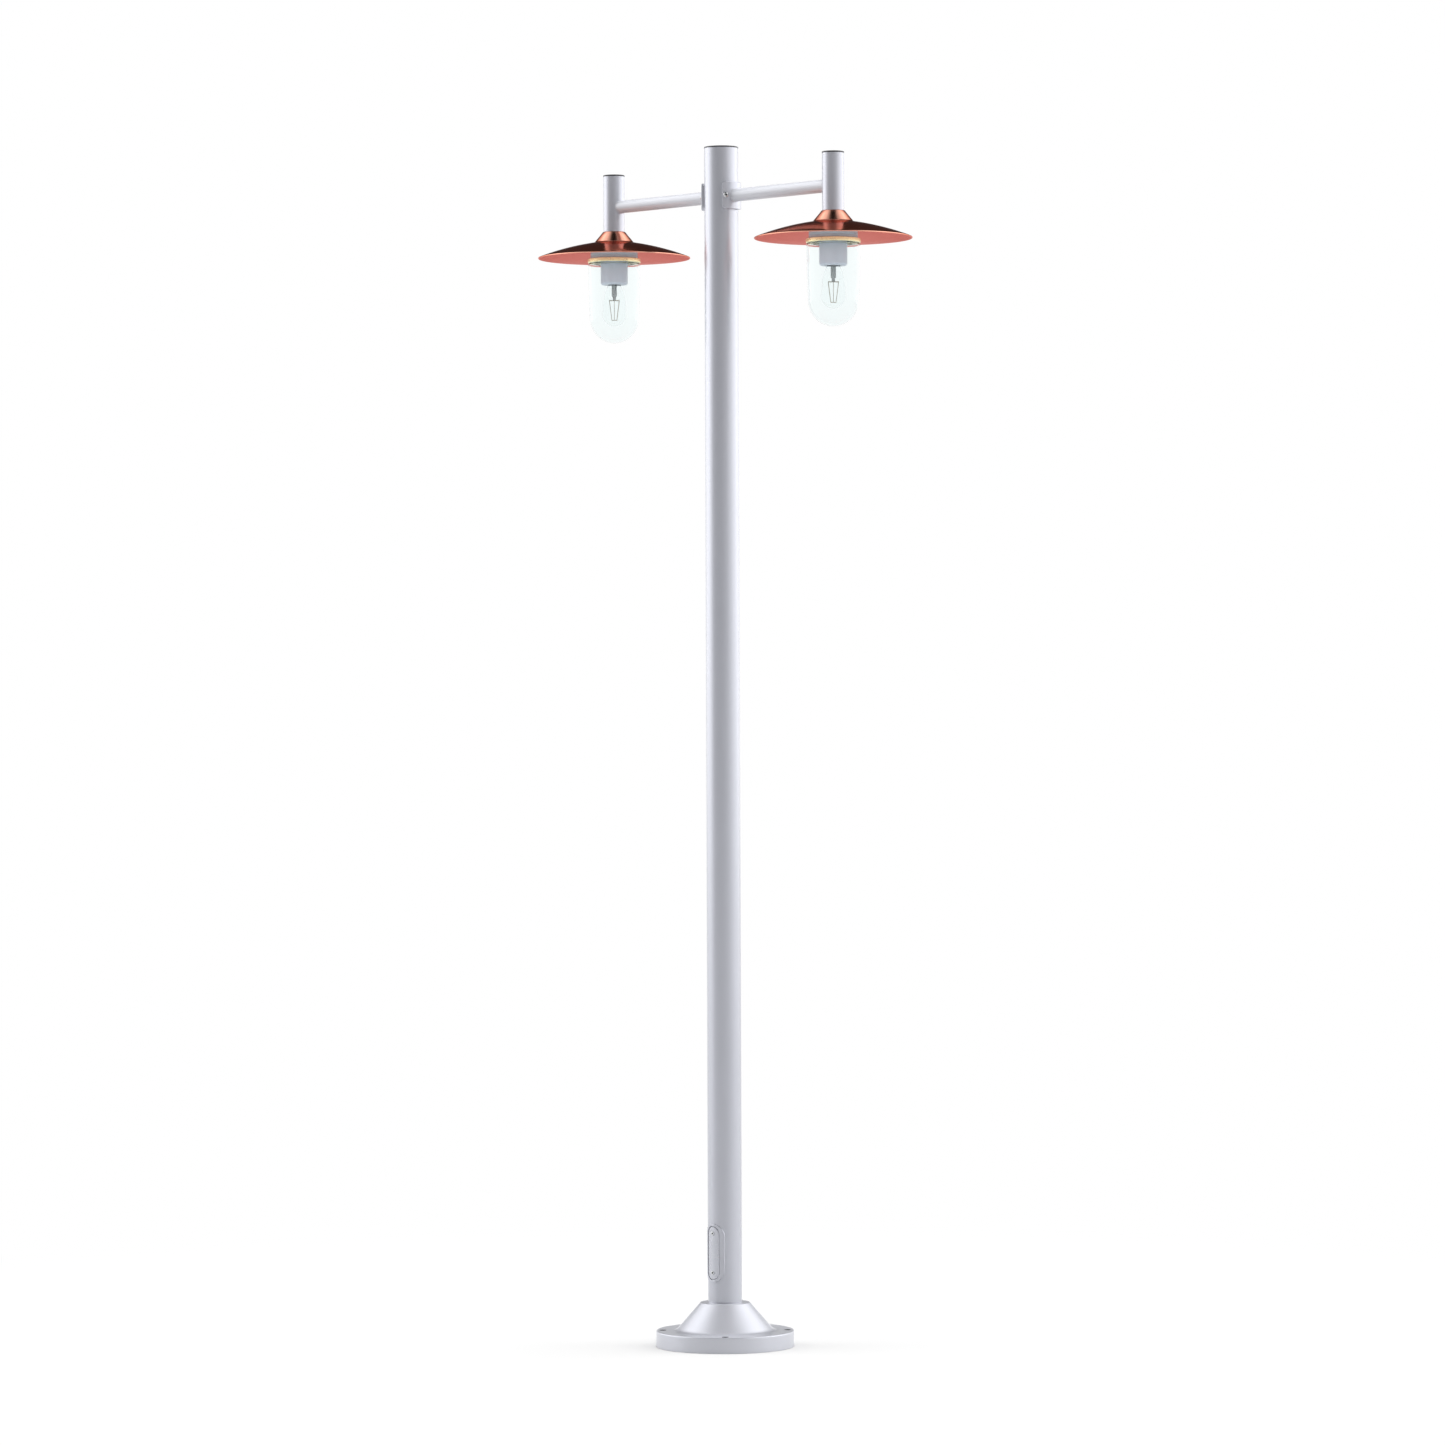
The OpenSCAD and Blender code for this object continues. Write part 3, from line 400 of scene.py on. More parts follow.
def outward(piece):
    """Turns a closed shell's faces outward, by the sign of its volume."""
    shape = bmesh.new()
    shape.from_mesh(piece.data)
    if shape.calc_volume(signed=True) < 0:
        bmesh.ops.reverse_faces(shape, faces=shape.faces)
    shape.to_mesh(piece.data)
    shape.free()
    return piece


def turned(name, section, finish, axis_x=0.0, segments=96, z=0.0, closed=True):
    """A piece turned round an upright axis from a half section in millimetres, with its faces outward."""
    points = [Vector(p[:2]) / 1000 for p in section]
    if sum(a.x * b.y - b.x * a.y for a, b in zip(points, points[1:] + points[:1])) < 0:
        points.reverse()
    if closed:
        points.append(points[0])
    line = bpy.data.meshes.new(name + "_section")
    line.from_pydata([(p.x, 0, p.y + z) for p in points], [(i, i + 1) for i in range(len(points) - 1)], [])
    values = {"Section Points": len(points), "Segments": segments, "Axis X": axis_x, "Finish": finish}
    return smooth(outward(baked(linked(name + "_section", line), turned_tree, values, name)))


def cutter(finish, segments, *steps):
    """A turned cutter along Z, whose steps are (radius, from, to) in millimetres."""
    section = [(0, steps[0][1])]
    for r, low, high in steps:
        section += [(r, low), (r, high)]
    return turned("cutter", section + [(0, steps[-1][2])], finish, segments=segments, closed=False)


def object_of(name, shape, finishes):
    """An object made of a bmesh, which is used up, with its finishes."""
    mesh = bpy.data.meshes.new(name)
    shape.to_mesh(mesh)
    shape.free()
    for finish in finishes:
        mesh.materials.append(finish)
    return linked(name, mesh)


def join(name, pieces):
    """Several pieces made one mesh, with their materials."""
    shape = bmesh.new()
    finishes = []
    for piece in pieces:
        first = len(shape.faces)
        shape.from_mesh(piece.data)
        shape.faces.ensure_lookup_table()
        finishes += [m for m in piece.data.materials if m not in finishes]
        slots = [finishes.index(m) for m in piece.data.materials]
        for face in shape.faces[first:]:
            face.material_index = slots[face.material_index]
        bpy.data.objects.remove(piece)
    return smooth(object_of(name, shape, finishes))


def cut(piece, cutters, sharp_above=38.0):
    """Cuts other closed shells out of a piece and removes them."""
    for saw in cutters:
        cutting = piece.modifiers.new("cut", "BOOLEAN")
        cutting.operation = "DIFFERENCE"
        cutting.solver = "EXACT"
        cutting.object = saw
    bpy.context.view_layer.update()
    mesh = bpy.data.meshes.new_from_object(piece.evaluated_get(bpy.context.evaluated_depsgraph_get()))
    piece.modifiers.clear()
    old = piece.data
    piece.data = mesh
    mesh.name = old.name
    bpy.data.meshes.remove(old)
    for saw in cutters:
        bpy.data.objects.remove(saw)
    return smooth(piece, sharp_above)


def shift(x, y, z):
    """A move in millimetres."""
    return Matrix.Translation((x / 1000, y / 1000, z / 1000))


def spin(degrees, axis="Z"):
    """A turn about an axis through the origin."""
    return Matrix.Rotation(math.radians(degrees), 4, axis)


def moved(piece, matrix):
    """A piece with its place changed in its mesh."""
    piece.data.transform(matrix)
    return piece


def block(name, low, high, finish, bevel=0.4):
    """A rectangular solid between two corners in millimetres, with its edges rounded."""
    shape = bmesh.new()
    bmesh.ops.create_cube(shape, size=1.0)
    low, high = Vector(low) / 1000, Vector(high) / 1000
    for v in shape.verts:
        v.co = Vector((low[k] + (v.co[k] + 0.5) * (high[k] - low[k]) for k in range(3)))
    bmesh.ops.bevel(shape, geom=list(shape.edges), offset=bevel / 1000, segments=2, affect="EDGES",
                    profile=0.6)
    return smooth(object_of(name, shape, [finish]))


def settle(piece, body, slot, *stands_for):
    """Gives a finished piece its body and hides the CAD nodes that it stands for. The slot is not used."""
    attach(piece, body)
    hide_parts(*stands_for)


silver_coat = finish_of("silver_coat", (0.47, 0.48, 0.53), 0.30, metallic=0.5, spread=0.035, clouds=9.0,
                        specks=900.0, relief=(700.0, 0.04), coat_weight=0.3, coat_roughness=0.16)
# Painted light: the base has the pole's silver coat, given a lighter tone here for the light on its sides and
# cone
base_coat = finish_of("base_coat", (0.53, 0.54, 0.59), 0.34, metallic=0.45, spread=0.035, clouds=9.0,
                      specks=900.0, relief=(700.0, 0.05), coat_weight=0.3, coat_roughness=0.2)
# Painted shade: a near-black finish for the anchor holes' walls and chamfers
bare_iron = finish_of("bare_iron", (0.012, 0.012, 0.013), 0.85, spread=0.2, clouds=60.0, relief=(900.0, 0.2),
                      specular_ior_level=0.1)
cone_slope = math.atan2(base_h - disc_h, foot_r - top_r)
inner_shift = base_wall / math.tan(cone_slope) - base_wall / math.sin(cone_slope)
inner_r, inner_top, inner_disc = disc_r - base_wall, base_h - base_wall, disc_h - base_wall
base = turned("base_casting_shell", rounded([
    (ledge_bore_r, 0, 0.8), (boss_r, 0, 0.8), (boss_r, inner_top, 2.0), (top_r + inner_shift, inner_top, 2.0),
    (foot_r + inner_shift, inner_disc, 3.0), (inner_r, inner_disc, 2.0), (inner_r, 0, 0.8), (disc_r, 0, 0.8),
    (disc_r, disc_h, 3.5), (foot_r, disc_h, 20.0), (top_r, base_h, 6.0), (socket_r, base_h, 0.8),
    (socket_r, socket_z, 0.3), (ledge_bore_r, socket_z, 0.5)], steps=6), base_coat, segments=160)
hole_cutters = []
anchor_turns = [45 + 90 * k for k in range(4)]
anchor_axes = [Vector((math.cos(math.radians(a)),
                       math.sin(math.radians(a)))) * anchor_r for a in anchor_turns]
for axis in anchor_axes:
    hole = cutter(base_coat, 40, (anchor_hole_r, -5, disc_h - 1.2),
                  (anchor_hole_r + anchor_chamfer, disc_h + 0.4, disc_h + 3))
    hole_cutters.append(moved(hole, shift(axis.x, axis.y, 0)))
for a in set_screw_angles:
    hole = cutter(base_coat, 24, (set_screw_hole_r, 40, 72))
    hole_cutters.append(moved(hole, spin(a) @ shift(0, 0, set_screw_z) @ spin(90, "Y")))
cut(base, hole_cutters)
# The walls and the chamfers of the anchor holes get a near-black finish: painted shade in the holes
base.data.materials.append(bare_iron)
for face in base.data.polygons:
    corners = [base.data.vertices[k].co.xy * 1000 for k in face.vertices]
    if any(all((c - axis).length < anchor_hole_r + hole_shade_margin for c in corners) for axis in anchor_axes):
        face.material_index = 1
under_parts = [base]
for a in anchor_turns:
    section = rounded([(anchor_hole_r, 0), (anchor_boss_r, 0), (anchor_boss_r, 36), (anchor_hole_r, 36)])
    boss = turned("anchor_boss", section, base_coat, segments=40)
    under_parts.append(moved(boss, spin(a) @ shift(anchor_r, 0, 0)))
    low, high = (boss_r - 0.5, -rib_thick / 2, 0), (inner_r + 0.5, rib_thick / 2, inner_disc + 0.5)
    under_parts.append(moved(block("base_rib", low, high, base_coat, 1.0), spin(a - 45)))
settle(join("base_casting_finish", under_parts), "post", "painted_silver", "base_casting")


# === Base set screws ===
# Three socket set screws of blackened steel, in the boss under the cone, clamp
# the pole. They are reached from below, before the base is set down.
# Fasteners: one drawn piece set at each point, turned by the point's own turn, and spun at random
fastener_tree, given, result = geometry_group("fasteners", [
    ("Piece", "NodeSocketObject"), ("Size", FLOAT, 1.0), ("Spin", FLOAT, math.pi), ("Seed", WHOLE, 3),
    ("Finish", FINISH), ("Socket Finish", FINISH)])
drawn = put(fastener_tree, "GeometryNodeObjectInfo", {"Object": given["Piece"]}, "Geometry")
turn_of_point = put(fastener_tree, "GeometryNodeInputNamedAttribute", {"Name": "turn"},
                    data_type="FLOAT_VECTOR")
spread_out = put(fastener_tree, "GeometryNodeInstanceOnPoints", {
    "Points": given["Geometry"], "Instance": drawn, "Scale": given["Size"],
    "Rotation": put(fastener_tree, "FunctionNodeEulerToRotation", {0: turn_of_point})})
# A Random Value node of floats takes its limits on inputs 2 and 3 and gives its value on output 1
chance = put(fastener_tree, "FunctionNodeRandomValue", {
    2: reckon(fastener_tree, "MULTIPLY", given["Spin"], -1), 3: given["Spin"], "Seed": given["Seed"]}, 1,
    data_type="FLOAT")
about_z = put(fastener_tree, "ShaderNodeCombineXYZ", {"Z": chance})
own_spin = put(fastener_tree, "FunctionNodeEulerToRotation", {0: about_z})
spun = put(fastener_tree, "GeometryNodeRotateInstances", {"Instances": spread_out, "Rotation": own_spin})
# The faces inside a key socket take the painted socket shade
in_socket = put(fastener_tree, "GeometryNodeInputNamedAttribute", {"Name": "in_socket"}, data_type="BOOLEAN")
with_socket = put(fastener_tree, "GeometryNodeSetMaterial", {
    "Geometry": coated(fastener_tree, spun, given["Finish"]), "Selection": in_socket,
    "Material": given["Socket Finish"]})
fastener_tree.links.new(with_socket, result["Geometry"])


def set_out(name, drawn_piece, places, finish, seed=3):
    """Sets copies of a drawn piece at (place in metres, direction of its own Z) pairs, as one mesh."""
    spots = bpy.data.meshes.new(name + "_spots")
    spots.from_pydata([tuple(p) for p, _ in places], [], [])
    turns = spots.attributes.new("turn", "FLOAT_VECTOR", "POINT")
    for k, (_, way) in enumerate(places):
        turns.data[k].vector = Vector(way).to_track_quat("Z", "Y").to_euler()
    values = {"Piece": drawn_piece, "Size": 1.0, "Spin": math.pi, "Seed": seed, "Finish": finish,
              "Socket Finish": socket_shadow}
    piece = baked(linked(name + "_spots", spots), fastener_tree, values, name)
    bpy.data.objects.remove(drawn_piece)
    return smooth(piece)


def spokes(angles, radius, height):
    """(place in metres, direction) pairs round the post's axis, from degrees and millimetres."""
    ways = [Vector((math.cos(math.radians(a)), math.sin(math.radians(a)), 0)) for a in angles]
    return [(way * radius / 1000 + Vector((0, 0, height / 1000)), way) for way in ways]


def socket_screw(name, head, shank_r, shank_len, key_r, key_depth, finish, segments=40):
    """A screw along Z whose head's seat is at 0: a turned head with a six-sided key socket, and its shank."""
    top = max(z for _, z in head)
    shank = [(0, -shank_len), (shank_r - 0.6, -shank_len), (shank_r, -shank_len + 0.8), (shank_r, 0)]
    screw = turned(name, shank + rounded(head, 0.5, closed=False) + [(0, top)], finish, segments=segments,
                   closed=False)
    cut(screw, [cutter(finish, 6, (key_r, top - key_depth, top + 1))], 30)
    inside = screw.data.attributes.new("in_socket", "BOOLEAN", "FACE")
    for face in screw.data.polygons:
        c = face.center * 1000
        in_depth = top - key_depth - 0.1 < c.z < top - 0.05
        inside.data[face.index].value = math.hypot(c.x, c.y) < key_r and in_depth
    return screw


# Painted shade: a near-black finish put in the screws' key sockets
socket_shadow = finish_of("socket_shadow", (0.015, 0.015, 0.016), 0.6, metallic=0.3, spread=0.2, clouds=90.0,
                          relief=(900.0, 0.1))
black_steel = finish_of("black_steel", (0.035, 0.035, 0.038), 0.42, metallic=0.8, spread=0.15, clouds=60.0,
                        relief=(900.0, 0.1))
set_screw = socket_screw("set_screw", [(4.0, 0), (4.0, 4.6), (3.4, 5.0), (2.6, 5.0)], 4.0, 9.4, 2.3, 3.5,
                         black_steel, 28)
settle(set_out("set_screws_finish", set_screw, spokes(set_screw_angles, 55.0, set_screw_z), black_steel),
       "post", "stainless", "base_set_screws")


# === Pole ===
# A straight steel tube, powder coated in silver, with the service opening cut
# in its lower end and a dark pressed cap on top.
pole_r, pole_bore_r = 45.0, 42.0
pole_foot, pole_top = (round(z * 1000, 2) for z in (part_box("pole_foot")[0].z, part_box("pole_tube")[1].z))
door_z = 500 * sum(corner.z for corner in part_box("door_cover"))
opening_w, opening_h = 48.1, 148.1


def outline(width, height, corner, inset, count=15):
    """Points of a rounded rectangle, drawn in by inset, always as many and in the same order."""
    w, h = max(width / 2 - inset, 0.0), max(height / 2 - inset, 0.0)
    r = min(max(corner - inset, 0.0), w, h)

    def on_corner(k, quarters):
        """The point of a corner's arc that lies at a number of quarter turns."""
        sx, sy = ((1, 1), (-1, 1), (-1, -1), (1, -1))[k % 4]
        a = math.radians(90 * quarters)
        return sx * (w - r) + r * math.cos(a), sy * (h - r) + r * math.sin(a)

    points = []
    for k in range(4):
        points += [on_corner(k, k + i / count) for i in range(count + 1)]
        (ax, ay), (bx, by) = points[-1], on_corner(k + 1, k + 1)
        points += [(ax + (bx - ax) * i / count, ay + (by - ay) * i / count) for i in range(1, count)]
    return points


def skin(name, loops, finish, closed=True):
    """Bridges loops of points in metres, each as long, into a shell, and closes what meets."""
    count = len(loops[0])
    shape = bmesh.new()
    made = [[shape.verts.new(p) for p in loop] for loop in loops]
    for a, b in zip(made, made[1:] + made[:1] if closed else made[1:]):
        for i in range(count):
            j = (i + 1) % count
            shape.faces.new((a[i], a[j], b[j], b[i]))
    bmesh.ops.remove_doubles(shape, verts=shape.verts, dist=2e-6)
    bmesh.ops.dissolve_degenerate(shape, edges=shape.edges, dist=1e-7)
    return smooth(outward(object_of(name, shape, [finish])))


def wrapped_plate(name, width, height, corner, profile, place, finish):
    """A plate wrapped round the pole, from (inset, radius) pairs. place lays a point on the pole."""
    loops = [[place(u, v, r) for u, v in outline(width, height, corner, inset)] for inset, r in profile]
    return skin(name, loops, finish, closed=False)


def on_door_side(u, v, r):
    """A point on the door side of the pole, u across and v up from the door's centre, r from the axis."""
    return Vector((u, -math.sqrt(r * r - u * u), v + door_z)) / 1000


# Rings of points up the pole keep its faces from growing too long
stations = (60, 110, 160, 172, 325, 337, 400, 700, 1100, 1500, 1900, 2300, 2700, 2950, 3140)
heights = (pole_foot, *stations, pole_top)
pole = turned("pole_tube_finish", [(pole_bore_r, pole_foot)] + [(pole_r, z) for z in heights] + [
    (pole_bore_r, z) for z in (pole_top, *reversed(stations))], silver_coat, segments=144)
loops = [[Vector((u, -y, v + door_z)) / 1000 for u, v in outline(opening_w, opening_h, opening_w / 2, inset)]
         for inset, y in ((opening_w / 2, 20), (0, 20), (0, 60), (opening_w / 2, 60))]
cut(pole, [skin("opening_cutter", loops, silver_coat, closed=False)])
settle(pole, "post", "painted_silver", "pole_foot", "pole_tube")

cap_coat = finish_of("dark_cap", (0.032, 0.032, 0.036), 0.38, metallic=0.1, spread=0.12, clouds=30.0,
                     relief=(800.0, 0.06))
cap_top = 1000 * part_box("pole_cap")[1].z
pole_cap = turned("pole_cap_finish", [(0, pole_top)] + rounded([
    (39.7, pole_top), (39.7, pole_top - 14), (41.7, pole_top - 14), (41.7, pole_top + 0.05),
    (45.4, pole_top + 0.05, 0.2), (45.4, pole_top + 3.0, 1.2), (43.6, cap_top - 0.6, 0.8)], 0.4) + [
    (30, cap_top - 0.15), (12, cap_top), (0, cap_top)], cap_coat, closed=False)
settle(pole_cap, "post", "cap_grey", "pole_cap")


# === Service door ===
# A raised rim is welded round the opening, and a cover curved like the pole
# lies in it on a rubber gasket, held by two socket screws in threaded lugs.
rim_w, rim_h, rim_top = 64.0, 156.0, 47.2
cover_w, cover_h, cover_in, cover_out = 39.3, 139.3, 42.8, 45.8
ledge_r, frame_in = 41.45, 38.45
lug_front = 39.5
screw_rise = 52.0
head_seat = 44.6
screw_hole_r, screw_sink_r = 3.15, 5.4
# Distances in from the rim's sides: the collar that fills the opening, the cover's bed, the ledge
collar_inset, bed_inset, ledge_inset = 8.0, 10.9, 15.0
# How much wider the rim is beside the cover than above and below it
side_surplus = 4.0

frame_loops = [[on_door_side(u, v, r) for u, v in
                outline(rim_w - 2 * i, rim_h - 2 * max(i / 2, i - side_surplus), rim_w / 2 - i, 0)]
               for i, r in rounded([
                   (0, pole_r + 0.05, 0.1), (0, rim_top, 2.1), (bed_inset, rim_top, 1.3),
                   (bed_inset, ledge_r, 0.3), (ledge_inset, ledge_r, 0.3), (ledge_inset, frame_in, 0.3),
                   (collar_inset, frame_in, 0.3), (collar_inset, pole_r + 0.05, 0.1)])]
frame_parts = [skin("door_rim", frame_loops, silver_coat)]
screw_places = [shift(0, 0, door_z + s * screw_rise) @ spin(90, "X") for s in (-1, 1)]
for s, to_screw in zip((-1, 1), screw_places):
    near, end = sorted((s * (screw_rise - 10), s * 70))
    lug = block("door_lug", (-11, -lug_front, door_z + near), (11, -lug_front + 9.5, door_z + end),
                silver_coat, 0.8)
    frame_parts.append(cut(lug, [moved(cutter(silver_coat, 24, (3.0, 20, 60)), to_screw)]))
settle(join("door_frame_finish", frame_parts), "post", "painted_silver", "door_frame")

door_coat = finish_of("door_coat", (0.49, 0.50, 0.55), 0.27, metallic=0.5, spread=0.02, clouds=14.0,
                      specks=900.0, gloss_spread=0.02, relief=(700.0, 0.008), coat_weight=0.3,
                      coat_roughness=0.15)
cover_edge = [(6, cover_out), (0, cover_out, 1.5), (0, cover_in, 0.5), (6, cover_in)]
inner_steps = (cover_w / 2, 17, 14, 11.5, 9, 7.5)
cover_profile = [(i, cover_out) for i in inner_steps] + rounded(cover_edge, closed=False) + [
    (i, cover_in) for i in reversed(inner_steps)]
cover = wrapped_plate("door_cover_finish", cover_w, cover_h, cover_w / 2, cover_profile, on_door_side,
                      door_coat)
cut(cover, [moved(cutter(door_coat, 32, (screw_hole_r, 30, head_seat), (screw_sink_r, head_seat, 50)),
                  to_screw)
            for to_screw in screw_places])
settle(cover, "door", "painted_silver", "door_cover")

bright_steel = finish_of("bright_steel", (0.56, 0.57, 0.58), 0.28, metallic=1.0, spread=0.05, clouds=120.0,
                         relief=(1500.0, 0.06))
for node, body in (("door_screw_upper", "door_screw_high"), ("door_screw_lower", "door_screw_low")):
    low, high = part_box(node)
    screw = socket_screw(node + "_drawn", [(5.0, 0), (5.0, 2.6), (2.9, 2.6)], 2.95, 13.1, 2.7, 2.2,
                         bright_steel)
    spot = Vector((0, -head_seat / 1000, (low.z + high.z) / 2))
    settle(set_out(node + "_finish", screw, [(spot, (0, -1, 0))], bright_steel, seed=11), body, "stainless",
           node)


def recoat(finish, *names):
    """Gives pieces carried over from the CAD a finish."""
    for name in names:
        nodes[name].data.materials.clear()
        nodes[name].data.materials.append(finish)


rubber = finish_of("black_rubber", (0.018, 0.018, 0.019), 0.7, spread=0.2, clouds=80.0, relief=(1800.0, 0.15))
recoat(rubber, "door_gasket", "pole_grommets")


# === Terminal box ===
# Behind the door: a cast grey box with a lid, on a zinc-plated bracket welded
# in the pole, with nylon glands, a terminal block and a brass earth stud.
zinc = finish_of("zinc_plate", (0.52, 0.53, 0.55), 0.38, metallic=0.9, spread=0.14, clouds=70.0, specks=300.0,
                 gloss_spread=0.16, relief=(900.0, 0.08))
box_grey = finish_of("box_grey", (0.26, 0.27, 0.29), 0.5, spread=0.05, clouds=40.0, relief=(1400.0, 0.14))
block_cream = finish_of("block_cream", (0.70, 0.64, 0.49), 0.42, spread=0.05, clouds=90.0,
                        relief=(900.0, 0.05))
nylon = finish_of("black_nylon", (0.022, 0.022, 0.024), 0.45, spread=0.15, clouds=90.0, relief=(1500.0, 0.12))
brass = finish_of("plain_brass", (0.72, 0.51, 0.22), 0.3, metallic=1.0, spread=0.08, clouds=110.0,
                  relief=(1500.0, 0.06))
recoat(zinc, "terminal_bracket")
recoat(block_cream, "terminal_block")
recoat(bright_steel, "box_screws")

box_low, box_high = (corner * 1000 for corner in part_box("terminal_box"))
lid_low, lid_high = (corner * 1000 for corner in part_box("terminal_lid"))
shell = block("terminal_shell", box_low, box_high, box_grey, 1.6)
hollow = block("terminal_hollow", box_low + Vector((2, -5, 2)), box_high - Vector((2, 2, 2)), box_grey, 0.8)
settle(cut(shell, [hollow], 30), "post", "box_grey", "terminal_box")
lid = block("terminal_lid_finish", lid_low, lid_high, box_grey, 0.9)
recess = block("lid_recess", lid_low + Vector((4, -2, 4)), (lid_high.x - 4, lid_low.y + 0.7, lid_high.z - 4),
               box_grey)
settle(cut(lid, [recess], 30), "post", "box_grey", "terminal_lid")

gland_parts = []
for x in (-8.0, 8.0):
    body = rounded([(3.35, -6), (5, -6), (5, 5), (6.4, 5), (6.0, 9), (4.6, 13), (3.35, 13)], 0.5)
    grip = turned("gland_hex", [(4.8, 0), (7.5, 0), (7.5, 6), (4.8, 6)], nylon, 0.0, 6, box_high.z / 1000)
    gland_parts += [turned("gland_body", body, nylon, x / 1000, 40, box_high.z / 1000),
                    moved(grip, shift(x, 0, 0))]
inlet = rounded([(4.5, 6), (6, 6), (6, -5), (7.6, -5), (7.1, -10), (5.8, -14), (4.5, -14)], 0.5)
gland_parts += [
    turned("inlet_body", inlet, nylon, 0.0, 40, box_low.z / 1000),
    turned("inlet_hex", [(5.8, 0), (9, 0), (9, -6), (5.8, -6)], nylon, 0.0, 6, box_low.z / 1000)]
settle(join("box_glands_finish", gland_parts), "post", "gland_black", "box_glands")

stud_z = 500 * sum(corner.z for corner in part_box("earth_stud"))
stud_thread = [(3.9 - 0.35 * (i % 2), 1.0 + 0.5 * i) for i in range(39)]
stud_parts = [
    turned("earth_stud_shank", [(0, -4.0), (3.9, -4.0)] + stud_thread + [(3.2, 21), (0, 21)], brass,
           segments=32, closed=False),
    turned("earth_washer", rounded([(3.9, 0), (7.5, 0), (7.5, 1.2), (3.9, 1.2)], 0.3), brass, segments=40)]
for bore, z, h in ((3.8, 1.25, 6.0), (0, -7.0, 4.0)):
    nut = [(bore, z), (7.1, z), (7.5, z + 0.5), (7.5, z + h - 0.5), (7.1, z + h), (bore, z + h)]
    stud_parts.append(turned("earth_nut", nut, brass, segments=6, closed=bore > 0))
stud = moved(join("earth_stud_finish", stud_parts), shift(0, 20, stud_z) @ spin(90, "X"))
settle(stud, "post", "brass", "earth_stud")


# === Lamp leads ===
# A round black flexible lead for each lantern, from its gland up the pole, out
# along the arm and down the stem into the lampholder.
# Run along a path: a round section of a given radius swept along an edge path
path_tree, given, result = geometry_group("run_along_path", [
    ("Radius", FLOAT, 0.003), ("Sides", WHOLE, 16), ("Finish", FINISH)])
ring = put(path_tree, "GeometryNodeCurvePrimitiveCircle", {
    "Resolution": given["Sides"], "Radius": given["Radius"]})
swept = put(path_tree, "GeometryNodeCurveToMesh", {
    "Curve": put(path_tree, "GeometryNodeMeshToCurve", {"Mesh": given["Geometry"]}), "Profile Curve": ring,
    "Fill Caps": True})
path_tree.links.new(coated(path_tree, swept, given["Finish"]), result["Geometry"])


def run_along(name, paths, radius, finish, sides=16, ring=False):
    """Round rods or tubes of one radius along paths of points, in millimetres, as one mesh."""
    verts, edges = [], []
    for path in paths:
        first = len(verts)
        verts += [tuple(Vector(p) / 1000) for p in path]
        edges += [(first + i, first + i + 1) for i in range(len(path) - 1)]
        if ring:
            edges.append((len(verts) - 1, first))
    line = bpy.data.meshes.new(name + "_path")
    line.from_pydata(verts, edges, [])
    values = {"Radius": radius / 1000, "Sides": sides, "Finish": finish}
    return smooth(outward(baked(linked(name + "_path", line), path_tree, values, name)), 50)


lead_black = finish_of("lead_sheath", (0.025, 0.025, 0.027), 0.5, spread=0.12, clouds=40.0,
                       relief=(1200.0, 0.1))
lead_r, lead_x, lead_bend, lead_end_drop = 3.25, 8.0, 26.0, 90.0
hands = {"left": -1, "right": 1}
stem_low, stem_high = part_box("right_stem_tube")
lamp_x = 500 * (stem_low.x + stem_high.x)
lamp_z = 1000 * stem_low.z
arm_z = 500 * sum(corner.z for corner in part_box("right_arm_tube"))
bends = [(lead_bend * math.sin(t * math.pi / 16), lead_bend * math.cos(t * math.pi / 16)) for t in range(9)]
for side, hand in hands.items():
    path = [(lead_x, z) for z in (1000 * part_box(side + "_lamp_lead")[0].z, 1200, 2200)]
    path += [(lead_x + lead_bend - c, arm_z - lead_bend + s) for s, c in bends]
    path += [(lamp_x - lead_bend + s, arm_z - lead_bend + c) for s, c in bends]
    path.append((lamp_x, lamp_z - lead_end_drop))
    lead = run_along(side + "_lamp_lead_finish", [[(hand * x, 0, z) for x, z in path]], lead_r, lead_black,
                     20)
    settle(lead, "post", "lead_black", side + "_lamp_lead")


# === Saddle plates ===
# Each arm is welded to a thick plate curved to the pole, which two socket
# button-head bolts fix into rivet nuts in the pole's wall.
plate_in, plate_out, plate_h, plate_half_w, plate_corner = 45.05, 53.0, 72.0, 36.146, 10.0
bolt_angle = 31.6
bolt_seat, bolt_hole_r, bolt_sink_r = 52.2, 4.5, 8.4

plate_steps = (36, 32, 28, 24, 20, 17, 14, 11)
plate_edge = [(8, plate_out), (0, plate_out, 1.4), (0, plate_in, 0.5), (8, plate_in)]
plate_profile = [(i, plate_out) for i in plate_steps] + rounded(plate_edge, closed=False, steps=5) + [
    (i, plate_in) for i in reversed(plate_steps)]
bolt_angles = [turn + s * bolt_angle for turn in (0, 180) for s in (-1, 1)]
for side, hand in hands.items():
    def on_arm_side(u, v, r, hand=hand):
        """A point on the arm's side of the pole, with u measured at the plate's outer face."""
        turn = math.asin(u / plate_out)
        return Vector((hand * r * math.cos(turn), r * math.sin(turn), v + arm_z)) / 1000

    plate = wrapped_plate(side + "_saddle_plate_finish", 2 * plate_half_w, plate_h, plate_corner,
                          plate_profile, on_arm_side, silver_coat)
    seats = []
    for a in bolt_angles[2:] if hand < 0 else bolt_angles[:2]:
        seat = cutter(silver_coat, 40, (bolt_hole_r, 30, bolt_seat), (bolt_sink_r, bolt_seat, 60))
        seats.append(moved(seat, shift(0, 0, arm_z) @ spin(a) @ spin(90, "Y")))
    cut(plate, seats, 34)
    settle(plate, "post", "painted_silver", side + "_saddle_plate")

